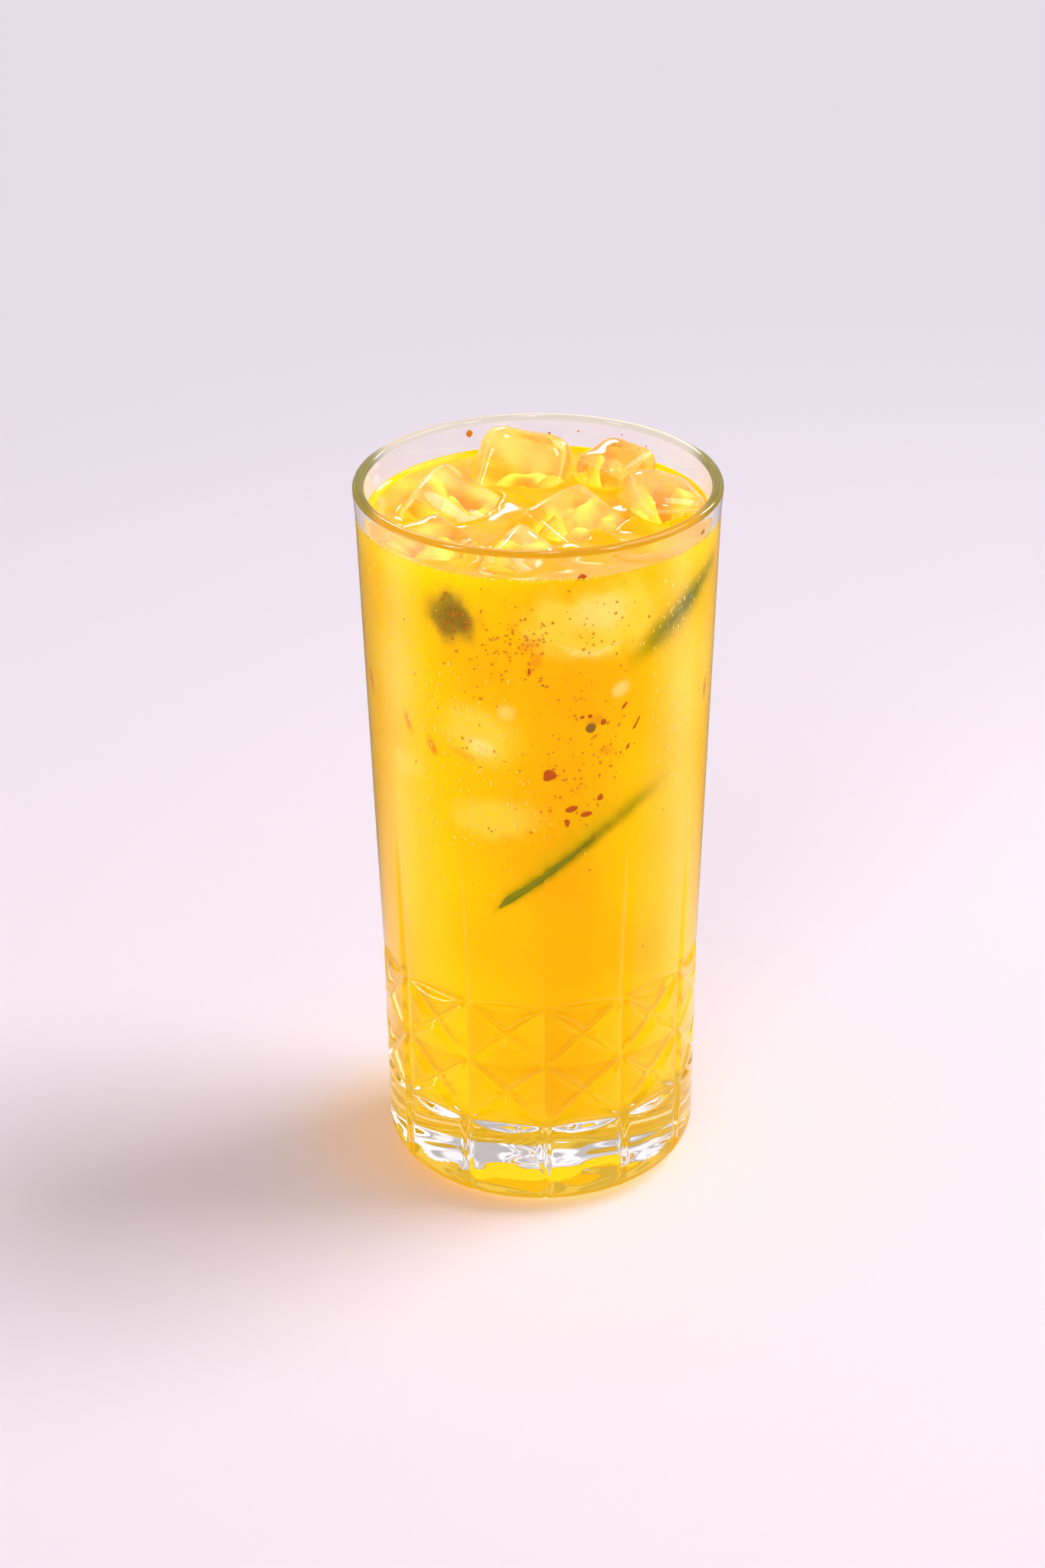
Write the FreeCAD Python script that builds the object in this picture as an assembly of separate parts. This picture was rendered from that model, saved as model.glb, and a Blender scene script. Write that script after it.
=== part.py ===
"""Highball glass of mango juice with ice.

The glass stands on its foot at z = 0, on the Z axis, and its front faces -Y.  It is pressed
glass with a heavy base, twelve upright cut flutes and a belt of crossed V-cuts.  The juice fills
it to a few millimetres under the rim and is cut round seven lumps of ice that break the surface.
All sizes are millimetres.
"""
import FreeCAD
import Part
import math
import os

# ---- glass: outside ---------------------------------------------------------------------------
GLASS_HEIGHT = 159.5
RIM_RADIUS = 39.0
LIP_RADIUS = 1.2            # full round of the fire-polished lip
BEAD_HEIGHT = 5.0           # the lip bead spreads out over this height
BEAD_REACH = 0.45           # and stands this far proud of the wall below it
BELT_TOP_Z = 52.0           # the wall is nearly upright up to here and tapers above
BELT_TOP_RADIUS = 34.6
FOOT_RADIUS = 33.9          # where the rounding of the foot ends
FOOT_ROUNDING = 8.2

# ---- glass: inside ----------------------------------------------------------------------------
BASE_THICKNESS = 19.0
INNER_FOOT_RADIUS = 30.0    # at INNER_FOOT_Z
INNER_FOOT_Z = 26.0
INNER_CORNER_RADIUS = 5.0
UNDERSIDE_RADIUS = 24.0
UNDERSIDE_RISE = 2.0

# ---- cut pattern ------------------------------------------------------------------------------
FLUTE_COUNT = 12
FLUTE_START_ANGLE = 1.75    # degrees from the front towards +X
CUT_HALF_ANGLE = 55.0       # degrees each side of the depth direction, for every V-cut
FLUTE_DEPTH = 0.9
FLUTE_FADE_Z = 96.0
BELT_LEVELS = (22.0, 36.5, 51.0)        # heights of the nodes where the cuts meet
NODE_DEPTH = 0.15
LENS_NODE_DEPTH = 0.02
TOOL_HEIGHT = 2.6           # how far a cutting wedge opens outwards
TOOL_OVERRUN = 1.6          # how far a straight wedge runs on past its node

# ---- drink ------------------------------------------------------------------------------------
JUICE_LEVEL = 151.8
MENISCUS_RISE = 0.9
MENISCUS_REACH = 1.6

# ---- ice: centre, half sizes, turns about X, Y and Z in degrees ---------------------------------
ICE_TAPER = 0.10            # a cube's lower face is this much wider than its upper one
ICE_EDGE_RADIUS = 2.4
ICE = {
    "ice_back": ((-4.4, 23.0, 150.3), (8.8, 7.8, 9.0), (-38.0, 13.0, -4.0)),
    "ice_left": ((-20.1, 6.3, 145.2), (9.5, 9.3, 10.5), (9.0, 32.0, -16.0)),
    "ice_front_left": ((-22.6, -14.7, 146.3), (7.4, 7.3, 9.0), (9.0, 18.0, -50.0)),
    "ice_front": ((-4.6, -20.8, 146.2), (7.2, 7.3, 8.2), (10.0, 36.0, -18.0)),
    "ice_centre": ((7.1, -3.5, 144.0), (9.3, 9.3, 10.5), (8.0, 25.0, -37.0)),
    "ice_right": ((25.8, 5.4, 148.7), (7.7, 7.7, 8.2), (20.0, 6.0, 20.0)),
    "ice_back_right": ((16.8, 21.0, 149.2), (6.6, 6.2, 8.8), (12.0, 8.0, -38.0)),
}


def outer_radius(z):
    """Radius of the uncut outer wall at height z, above the foot rounding and below the bead."""
    bead_z = GLASS_HEIGHT - LIP_RADIUS - BEAD_HEIGHT
    if z <= BELT_TOP_Z:
        share = (z - FOOT_ROUNDING) / (BELT_TOP_Z - FOOT_ROUNDING)
        return FOOT_RADIUS + share * (BELT_TOP_RADIUS - FOOT_RADIUS)
    share = (z - BELT_TOP_Z) / (bead_z - BELT_TOP_Z)
    return BELT_TOP_RADIUS + share * (RIM_RADIUS - BEAD_REACH - BELT_TOP_RADIUS)


def inner_slope():
    """Growth of the inner radius for each millimetre of height."""
    lip_radius_inside = RIM_RADIUS - 2 * LIP_RADIUS
    return (lip_radius_inside - INNER_FOOT_RADIUS) / (GLASS_HEIGHT - LIP_RADIUS - INNER_FOOT_Z)


def inner_radius(z):
    """Radius of the straight inner wall at height z."""
    return INNER_FOOT_RADIUS + inner_slope() * (z - INNER_FOOT_Z)


def arc_edge(start, middle, end):
    """Arc through three (radius, z) points of a profile."""
    return Part.Arc(*[FreeCAD.Vector(r, 0, z) for r, z in (start, middle, end)]).toShape()


def line_edge(start, end):
    """Straight edge between two (radius, z) points of a profile."""
    return Part.makeLine(*[FreeCAD.Vector(r, 0, z) for r, z in (start, end)])


def revolve(edges):
    """Solid of revolution about Z from the closed profile that the edges make."""
    face = Part.Face(Part.Wire(edges))
    solid = face.revolve(FreeCAD.Vector(0, 0, 0), FreeCAD.Vector(0, 0, 1), 360)
    return solid if solid.Volume > 0 else solid.reversed()


def inner_corner():
    """The three points of the rounded inner corner: at the floor, halfway, at the wall."""
    centre_z = BASE_THICKNESS + INNER_CORNER_RADIUS
    lean = math.atan(inner_slope())
    centre_r = inner_radius(centre_z) - INNER_CORNER_RADIUS / math.cos(lean)
    turn = math.pi / 2 - lean

    def on_arc(angle):
        return (centre_r + INNER_CORNER_RADIUS * math.sin(angle),
                centre_z - INNER_CORNER_RADIUS * math.cos(angle))

    return on_arc(0.0), on_arc(turn / 2), on_arc(turn)


def glass_blank():
    """The pressed blank before cutting: foot, wall, lip, inside and the dome under the foot."""
    lip_z = GLASS_HEIGHT - LIP_RADIUS
    bead_z = lip_z - BEAD_HEIGHT
    contact_r = FOOT_RADIUS - FOOT_ROUNDING
    diagonal = FOOT_ROUNDING * math.sqrt(0.5)
    floor_point, corner_middle, wall_point = inner_corner()
    dome_rise = UNDERSIDE_RISE * 0.75
    return revolve([
        arc_edge((0, UNDERSIDE_RISE), (UNDERSIDE_RADIUS / 2, dome_rise), (UNDERSIDE_RADIUS, 0)),
        line_edge((UNDERSIDE_RADIUS, 0), (contact_r, 0)),
        arc_edge((contact_r, 0), (contact_r + diagonal, FOOT_ROUNDING - diagonal),
                 (FOOT_RADIUS, FOOT_ROUNDING)),
        line_edge((FOOT_RADIUS, FOOT_ROUNDING), (BELT_TOP_RADIUS, BELT_TOP_Z)),
        line_edge((BELT_TOP_RADIUS, BELT_TOP_Z), (outer_radius(bead_z), bead_z)),
        line_edge((outer_radius(bead_z), bead_z), (RIM_RADIUS, lip_z)),
        arc_edge((RIM_RADIUS, lip_z), (RIM_RADIUS - LIP_RADIUS, GLASS_HEIGHT),
                 (RIM_RADIUS - 2 * LIP_RADIUS, lip_z)),
        line_edge((RIM_RADIUS - 2 * LIP_RADIUS, lip_z), wall_point),
        arc_edge(wall_point, corner_middle, floor_point),
        line_edge(floor_point, (0, BASE_THICKNESS)),
        line_edge((0, BASE_THICKNESS), (0, UNDERSIDE_RISE)),
    ])


def around(radius, angle, z):
    """Point at an angle in degrees, measured from the front (-Y) towards +X."""
    turn = math.radians(angle)
    return FreeCAD.Vector(radius * math.sin(turn), -radius * math.cos(turn), z)


def wedge_section(tip, outward, across):
    """Triangle of a cutting wedge: its tip, and two points that open out past the wall."""
    spread = math.tan(math.radians(CUT_HALF_ANGLE)) * TOOL_HEIGHT
    return [tip, tip + outward * TOOL_HEIGHT + across * spread,
            tip + outward * TOOL_HEIGHT - across * spread]


def polyhedron(sections):
    """Solid with flat triangular faces through a row of three-point sections."""
    faces = []
    for near, far in zip(sections, sections[1:]):
        for i in range(3):
            j = (i + 1) % 3
            faces.append((near[i], near[j], far[j]))
            faces.append((near[i], far[j], far[i]))
    faces.append(tuple(reversed(sections[0])))
    faces.append(tuple(sections[-1]))
    shell = Part.makeShell([Part.Face(Part.makePolygon([*face, face[0]])) for face in faces])
    solid = Part.makeSolid(shell)
    return solid if solid.Volume > 0 else solid.reversed()


def flute(angle):
    """Upright V-cut that follows the foot rounding and the wall, and fades out at the top."""
    across = around(1, angle + 90, 0)
    contact_r = FOOT_RADIUS - FOOT_ROUNDING
    sections = []
    for turn, share in ((18, 0.0), (36, 0.6), (54, 0.8), (72, 0.95), (90, 1.0)):
        lean = math.radians(turn)
        outward = around(math.sin(lean), angle, -math.cos(lean))
        depth = FLUTE_DEPTH * share
        tip = around(contact_r, angle, FOOT_ROUNDING) + outward * (FOOT_ROUNDING - depth)
        sections.append(wedge_section(tip, outward, across))
    middle_z = (BELT_TOP_Z + FLUTE_FADE_Z) / 2
    outward = around(1, angle, 0)
    for z, share in ((BELT_TOP_Z, 1.0), (middle_z, 0.7), (FLUTE_FADE_Z, 0.0)):
        tip = around(outer_radius(z) - FLUTE_DEPTH * share, angle, z)
        sections.append(wedge_section(tip, outward, across))
    return polyhedron(sections)


def straight_cut(start, end):
    """V-cut along the straight line between two points just under the wall."""
    along = (end - start).normalize()
    middle = (start + end) * 0.5
    outward = FreeCAD.Vector(middle.x, middle.y, 0).normalize()
    outward = (outward - along * outward.dot(along)).normalize()
    across = along.cross(outward)
    return polyhedron([wedge_section(start - along * TOOL_OVERRUN, outward, across),
                       wedge_section(end + along * TOOL_OVERRUN, outward, across)])


def node_point(column, z, depth):
    """The point under the wall where the cuts of a flute column meet at height z."""
    angle = FLUTE_START_ANGLE + column * 360.0 / FLUTE_COUNT
    return around(outer_radius(z) - depth, angle, z)


def belt_cuts(column):
    """Crossed cuts of the two rows of cells, and the flat lens cuts above and below them."""
    cuts = []
    for low, high in zip(BELT_LEVELS, BELT_LEVELS[1:]):
        for start_z, end_z in ((low, high), (high, low)):
            cuts.append(straight_cut(node_point(column, start_z, NODE_DEPTH),
                                     node_point(column + 1, end_z, NODE_DEPTH)))
    for z in (BELT_LEVELS[0], BELT_LEVELS[-1]):
        cuts.append(straight_cut(node_point(column, z, LENS_NODE_DEPTH),
                                 node_point(column + 1, z, LENS_NODE_DEPTH)))
    return cuts


def make_glass():
    """The blank with every flute and belt cut taken out."""
    cuts = []
    for column in range(FLUTE_COUNT):
        cuts.append(flute(FLUTE_START_ANGLE + column * 360.0 / FLUTE_COUNT))
        cuts.extend(belt_cuts(column))
    return glass_blank().cut(cuts)


def make_ice(centre, half, turns):
    """A lump of ice: a slightly tapered block with melted, rounded edges, turned and placed."""
    hx, hy, hz = half
    low, high = 1 + ICE_TAPER / 2, 1 - ICE_TAPER / 2
    block = Part.makeWedge(-hx * low, -hz, -hy * low, -hy * high, -hx * high,
                           hx * low, hz, hy * low, hy * high, hx * high)
    block = block.makeFillet(ICE_EDGE_RADIUS, block.Edges)
    block.rotate(FreeCAD.Vector(0, 0, 0), FreeCAD.Vector(1, 0, 0), 90)
    for axis, turn in zip(((1, 0, 0), (0, 1, 0), (0, 0, 1)), turns):
        block.rotate(FreeCAD.Vector(0, 0, 0), FreeCAD.Vector(*axis), turn)
    block.translate(FreeCAD.Vector(*centre))
    return block


def make_juice(ice):
    """Juice up to its level, with the rise at the wall, cut round the ice."""
    floor_point, corner_middle, wall_point = inner_corner()
    edge_z = JUICE_LEVEL + MENISCUS_RISE
    edge_r = inner_radius(edge_z)
    body = revolve([
        line_edge((0, BASE_THICKNESS), floor_point),
        arc_edge(floor_point, corner_middle, wall_point),
        line_edge(wall_point, (edge_r, edge_z)),
        arc_edge((edge_r, edge_z), (edge_r - MENISCUS_REACH * 0.35, JUICE_LEVEL + MENISCUS_RISE * 0.3),
                 (edge_r - MENISCUS_REACH, JUICE_LEVEL)),
        line_edge((edge_r - MENISCUS_REACH, JUICE_LEVEL), (0, JUICE_LEVEL)),
        line_edge((0, JUICE_LEVEL), (0, BASE_THICKNESS)),
    ])
    return body.cut(ice)


def main():
    """Builds every piece and writes one STEP for each."""
    os.makedirs("parts", exist_ok=True)
    pieces = {"glass": make_glass()}
    ice = {name: make_ice(*placing) for name, placing in ICE.items()}
    pieces["juice"] = make_juice(list(ice.values()))
    pieces.update(ice)
    for name, shape in pieces.items():
        solid = shape.Solids[0]
        print(name, "solids", len(shape.Solids), "valid", shape.isValid(),
              "faces", len(shape.Faces), "cm3 %.2f" % (shape.Volume / 1000))
        solid.exportStep(os.path.join("parts", name + ".step"))


main()
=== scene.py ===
"""Highball glass of mango juice with ice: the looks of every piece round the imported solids.

The glass stands on z = 0 with its axis on Z and its front towards -Y.  Sizes in the classes are
millimetres, angles are degrees from the front towards +X, and meshes are written in metres.
"""
import logging
import math
from dataclasses import dataclass
from enum import Enum

import bpy
import numpy as np
from mathutils import Matrix, Vector


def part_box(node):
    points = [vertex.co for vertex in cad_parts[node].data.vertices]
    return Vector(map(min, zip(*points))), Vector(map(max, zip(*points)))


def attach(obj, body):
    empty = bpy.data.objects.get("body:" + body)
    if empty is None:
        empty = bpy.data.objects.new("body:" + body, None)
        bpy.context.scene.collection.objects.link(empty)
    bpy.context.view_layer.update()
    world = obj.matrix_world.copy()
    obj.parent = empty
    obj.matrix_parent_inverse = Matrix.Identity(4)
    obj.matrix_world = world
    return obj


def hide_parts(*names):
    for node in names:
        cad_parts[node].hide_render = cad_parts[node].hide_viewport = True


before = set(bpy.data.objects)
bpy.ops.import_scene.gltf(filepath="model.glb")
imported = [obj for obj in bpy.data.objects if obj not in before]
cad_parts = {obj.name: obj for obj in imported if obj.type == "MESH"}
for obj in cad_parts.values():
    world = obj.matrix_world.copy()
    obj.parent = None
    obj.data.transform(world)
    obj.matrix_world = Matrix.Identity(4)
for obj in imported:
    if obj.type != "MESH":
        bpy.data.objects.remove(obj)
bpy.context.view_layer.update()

LOG = logging.getLogger("juice_glass")
MM = 0.001
BODY = "root"
BACKDROP = "#E6DDE8"
ICE_INDEX = 1.31
SCATTER_DEPTH = 0.003               # metres that light wanders under a cloudy surface,
ICE_SCATTER = (1.0, 0.8, 0.35)      # times these for red, green and blue in ice
JUICE_SCATTER = (1.0, 0.85, 0.2)    # and in juice

Socket = bpy.types.NodeSocket
NodeOwner = bpy.types.Material | bpy.types.World


class Slot(Enum):
    """The record's material slots."""

    GLASS = "glass"
    JUICE = "juice"
    ICE = "ice"


class Shade(Enum):
    """Named colours of the drink and what floats in it, and painted light and shade, as sRGB hex.
    """

    MANGO = "#FFD000"
    MANGO_DEEP = "#FFBC00"
    MANGO_PALE = "#FFD61C"
    FACET_SHADE = "#E2A800"
    MENISCUS_PAINTED_SHADE = "#C98500"
    UNDER_ICE_PAINTED_LIGHT = "#FFE256"
    PAINTED_GAP_SHADE = "#F5AE00"
    ICE_BEHIND = "#FFDF4E"
    PAINTED_ICE_HIGHLIGHT = "#FFEE9A"
    CUCUMBER_FLESH = "#DDB800"
    CUCUMBER_RIND = "#6E7400"
    HERB = "#8C7828"
    HERB_DARK = "#5C4C1A"
    CHILLI = "#A83C00"
    CHILLI_PALE = "#CC6A08"
    SEED = "#8A6A1E"
    RED_STREAK = "#D9741A"


# ---- small tools --------------------------------------------------------------------------------
def linear(hex_colour: str) -> tuple[float, float, float]:
    """Turns an sRGB hex colour into linear light.

    Args:
        hex_colour: colour such as "#FFBB05".

    Returns:
        Red, green and blue, each 0 to 1, in linear light.
    """
    parts = [int(hex_colour[i:i + 2], 16) / 255 for i in (1, 3, 5)]
    return tuple(c / 12.92 if c <= 0.04045 else ((c + 0.055) / 1.055) ** 2.4 for c in parts)


def rgba(hex_colour: str, alpha: float = 1.0) -> tuple[float, float, float, float]:
    """Linear colour with alpha, as sockets take it."""
    return (*linear(hex_colour), alpha)


def shade_rgb(shade: Shade) -> np.ndarray:
    """Linear colour of a named shade as an array."""
    return np.array(linear(shade.value))


def soft_max(*layers: np.ndarray, blend: float) -> np.ndarray:
    """Largest of several fields with its creases rounded over.

    It is blend * log(sum of exp(field / blend)), measured from the largest field.

    Args:
        *layers: the fields, which may broadcast.
        blend: about how wide the rounding is, in the fields' own units.

    Returns:
        The rounded largest value at each point.
    """
    stack = np.stack(np.broadcast_arrays(*layers)) / blend
    top = stack.max(axis=0)
    return (top + np.log(np.exp(stack - top).sum(axis=0))) * blend


def waves(points: np.ndarray, wavelength: float, seed: int, count: int = 9) -> np.ndarray:
    """Smooth noise of about unit size: a sum of sine waves in seeded random directions.

    Args:
        points: positions, last axis x, y, z.
        wavelength: typical distance between crests, in the units of the points.
        seed: which noise.
        count: how many waves are added.

    Returns:
        One value for each point.
    """
    rng = np.random.default_rng(seed)
    ways = rng.normal(size=(count, 3))
    ways *= (2 * np.pi / wavelength) * rng.uniform(0.6, 1.5, (count, 1)) / np.linalg.norm(
        ways, axis=1, keepdims=True)
    phases = rng.uniform(0, 2 * np.pi, count)
    return np.sin(points @ ways.T + phases).sum(axis=-1) / math.sqrt(count / 2)


def turn_matrix(turns: tuple[float, float, float]) -> np.ndarray:
    """Matrix that turns a point about X, then Y, then Z.

    Args:
        turns: the three angles in degrees.

    Returns:
        The 3 x 3 matrix.
    """
    (cx, cy, cz), (sx, sy, sz) = (f(np.radians(turns)) for f in (np.cos, np.sin))
    about_x = np.array([[1, 0, 0], [0, cx, -sx], [0, sx, cx]])
    about_y = np.array([[cy, 0, sy], [0, 1, 0], [-sy, 0, cy]])
    about_z = np.array([[cz, -sz, 0], [sz, cz, 0], [0, 0, 1]])
    return about_z @ about_y @ about_x


def around(radius: np.ndarray, angle: np.ndarray, height: np.ndarray) -> np.ndarray:
    """Points at a radius, an angle in degrees from the front towards +X, and a height."""
    turn = np.radians(angle)
    return np.stack(np.broadcast_arrays(radius * np.sin(turn), -radius * np.cos(turn), height), -1)


def arc_points(centre: tuple[float, float], radius: float, start: float, end: float,
               count: int) -> np.ndarray:
    """(radius, height) points on a profile arc from one angle to another, in degrees."""
    turn = np.radians(np.linspace(start, end, count))
    return np.stack([centre[0] + radius * np.cos(turn), centre[1] + radius * np.sin(turn)], 1)


def run_points(start: tuple[float, float], end: tuple[float, float], count: int) -> np.ndarray:
    """(radius, height) points evenly along a straight run of a profile, its start left out."""
    share = np.linspace(0, 1, count + 1)[1:, None]
    return np.array(start) * (1 - share) + np.array(end) * share


def ring_faces(rings: int, columns: int, first: int = 1) -> np.ndarray:
    """Quads between neighbouring closed rings of a grid.

    Args:
        rings: how many rings there are.
        columns: how many vertices each has.
        first: number of the vertex that starts the first ring.

    Returns:
        Four vertex numbers for each quad.
    """
    ring, column = np.meshgrid(np.arange(rings - 1), np.arange(columns), indexing="ij")
    after = (column + 1) % columns
    low, high = first + ring * columns, first + (ring + 1) * columns
    return np.stack([low + column, low + after, high + after, high + column], -1).reshape(-1, 4)


def pole_faces(pole: int, ring_start: int, columns: int, outward: bool) -> np.ndarray:
    """Triangles from a pole vertex to its ring.

    Args:
        pole: number of the pole vertex.
        ring_start: number of the ring's first vertex.
        columns: how many vertices the ring has.
        outward: True at the pole before the first ring, False at the one after the last.

    Returns:
        Three vertex numbers for each triangle.
    """
    column = ring_start + np.arange(columns)
    after = ring_start + (np.arange(columns) + 1) % columns
    pair = (after, column) if outward else (column, after)
    return np.stack([np.full(columns, pole), *pair], -1)


def closed_grid(points: np.ndarray, start: np.ndarray, end: np.ndarray) -> tuple[
        np.ndarray, np.ndarray, np.ndarray]:
    """Closed surface from rings of points and one pole at each end.

    Args:
        points: rings x columns x 3, columns running counter-clockwise seen from +Z.
        start: the pole before the first ring.
        end: the pole after the last ring.

    Returns:
        Vertices, quads and triangles, with faces outwards when the rings run from the
        underside over the outside to the top.
    """
    rings, columns = points.shape[:2]
    vertices = np.vstack([start, points.reshape(-1, 3), end])
    triangles = np.vstack([
        pole_faces(0, 1, columns, True),
        pole_faces(len(vertices) - 1, 1 + (rings - 1) * columns, columns, False),
    ])
    return vertices, ring_faces(rings, columns), triangles


def mesh_piece(name: str, vertices: np.ndarray, quads: np.ndarray, triangles: np.ndarray,
               materials: list[bpy.types.Material],
               face_slots: np.ndarray | None = None) -> bpy.types.Object:
    """Makes a smooth mesh object from arrays and rides it on the body.

    Args:
        name: the piece's name.
        vertices: positions in millimetres.
        quads: four vertex numbers for each quad, or an empty array.
        triangles: three vertex numbers for each triangle, or an empty array.
        materials: one material for each slot of the object.
        face_slots: which material each face has, quads first, or None for the first.

    Returns:
        The new object, at the origin with its place in its mesh.
    """
    quads, triangles = quads.reshape(-1, 4), triangles.reshape(-1, 3)
    sizes = np.concatenate([np.full(len(quads), 4), np.full(len(triangles), 3)])
    mesh = bpy.data.meshes.new(name)
    mesh.vertices.add(len(vertices))
    mesh.vertices.foreach_set("co", (vertices * MM).astype(np.float32).ravel())
    corners = np.concatenate([quads.ravel(), triangles.ravel()])
    mesh.loops.add(len(corners))
    mesh.loops.foreach_set("vertex_index", corners.astype(np.int32))
    mesh.polygons.add(len(sizes))
    mesh.polygons.foreach_set("loop_start", (np.cumsum(sizes) - sizes).astype(np.int32))
    mesh.polygons.foreach_set("loop_total", sizes.astype(np.int32))
    mesh.polygons.foreach_set("use_smooth", np.ones(len(sizes), bool))
    if face_slots is not None:
        mesh.polygons.foreach_set("material_index", face_slots.astype(np.int32))
    mesh.update(calc_edges=True)
    mesh.validate()
    for material in materials:
        mesh.materials.append(material)
    piece = bpy.data.objects.new(name, mesh)
    bpy.context.scene.collection.objects.link(piece)
    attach(piece, BODY)
    LOG.info("%s: %d vertices, %d faces", name, len(vertices), len(sizes))
    return piece


def point_colour(piece: bpy.types.Object, name: str, colours: np.ndarray) -> None:
    """Stores one linear colour for each vertex as a named attribute."""
    layer = piece.data.attributes.new(name, "FLOAT_COLOR", "POINT")
    layer.data.foreach_set("color", np.hstack([colours, np.ones((len(colours), 1))]).astype(
        np.float32).ravel())


def add_node(owner: NodeOwner, kind: str, inputs: dict | None = None,
             **settings: object) -> bpy.types.Node:
    """Adds one shader node with its settings, values and links.

    Args:
        owner: the material or world that gets the node.
        kind: Blender's node type.
        inputs: socket name or number to a value or to the socket that feeds it.
        **settings: attributes of the node itself.

    Returns:
        The new node.
    """
    tree = owner.node_tree
    node = tree.nodes.new(kind)
    for key, value in settings.items():
        setattr(node, key, value)
    for key, value in (inputs or {}).items():
        if isinstance(value, Socket):
            tree.links.new(value, node.inputs[key])
        else:
            node.inputs[key].default_value = value
    return node


def ramp(owner: NodeOwner, value: Socket, start: float, end: float, low: float = 0.0,
         high: float = 1.0, smooth: bool = False) -> Socket:
    """Carries a value from one range to another and holds it at the ends.

    Args:
        owner: the material or world that gets the node.
        value: what is carried over.
        start: the value that turns to `low`.
        end: the value that turns to `high`.
        low: result at the start.
        high: result at the end.
        smooth: whether it eases in and out between them.

    Returns:
        The carried value.
    """
    return add_node(owner, "ShaderNodeMapRange", {
        "Value": value, "From Min": start, "From Max": end, "To Min": low, "To Max": high},
        interpolation_type="SMOOTHSTEP" if smooth else "LINEAR").outputs[0]


def calculate(owner: NodeOwner, operation: str, first: Socket | float,
              second: Socket | float = 0.0) -> Socket:
    """Result of one step of arithmetic, by the math node's own name for it."""
    return add_node(owner, "ShaderNodeMath", {0: first, 1: second}, operation=operation).outputs[0]


def blend_colour(owner: NodeOwner, share: Socket, first: Socket | tuple,
                 second: Socket | tuple) -> Socket:
    """Colour between two, the second by its share."""
    return add_node(owner, "ShaderNodeMix", {"Factor": share, "A": first, "B": second},
                    data_type="RGBA").outputs["Result"]


def blend_surface(owner: NodeOwner, share: Socket, first: Socket, second: Socket) -> Socket:
    """Shader between two, the second by its share."""
    return add_node(owner, "ShaderNodeMixShader", {0: share, 1: first, 2: second}).outputs[0]


def open_to_lamps(owner: NodeOwner, surface: Socket, tint: str) -> Socket:
    """Lets lamps shine through a surface.

    Args:
        owner: the material that gets the nodes.
        surface: what every other ray meets.
        tint: colour that the lamps' light takes on.

    Returns:
        The surface, but a tinted window for the rays that look for lamps.
    """
    window = add_node(owner, "ShaderNodeBsdfTransparent", {"Color": rgba(tint)}).outputs[0]
    is_shadow = add_node(owner, "ShaderNodeLightPath").outputs["Is Shadow Ray"]
    return blend_surface(owner, is_shadow, surface, window)


def object_place(owner: NodeOwner) -> Socket:
    """Each point's place in the object, in metres."""
    return add_node(owner, "ShaderNodeTexCoord").outputs["Object"]


def speckle(owner: NodeOwner, size: float, detail: float, roughness: float = 0.5) -> Socket:
    """Noise over the object with spots about `size` millimetres wide."""
    return add_node(owner, "ShaderNodeTexNoise", {
        "Vector": object_place(owner), "Scale": 1 / (size * MM), "Detail": detail,
        "Roughness": roughness}).outputs["Fac"]


def noise_bump(owner: NodeOwner, wavelength: float, height: float) -> Socket:
    """Normal of a relief of noise, its wavelength and height in millimetres."""
    return add_node(owner, "ShaderNodeBump", {
        "Height": speckle(owner, wavelength, 2.0), "Strength": 1.0,
        "Distance": height * MM}).outputs["Normal"]


def blank_material(name: str) -> bpy.types.Material:
    """Makes a node material with nothing in it.

    Args:
        name: its name.

    Returns:
        The empty material.
    """
    material = bpy.data.materials.new(name)
    material.use_nodes = True
    material.node_tree.nodes.clear()
    return material


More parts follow.
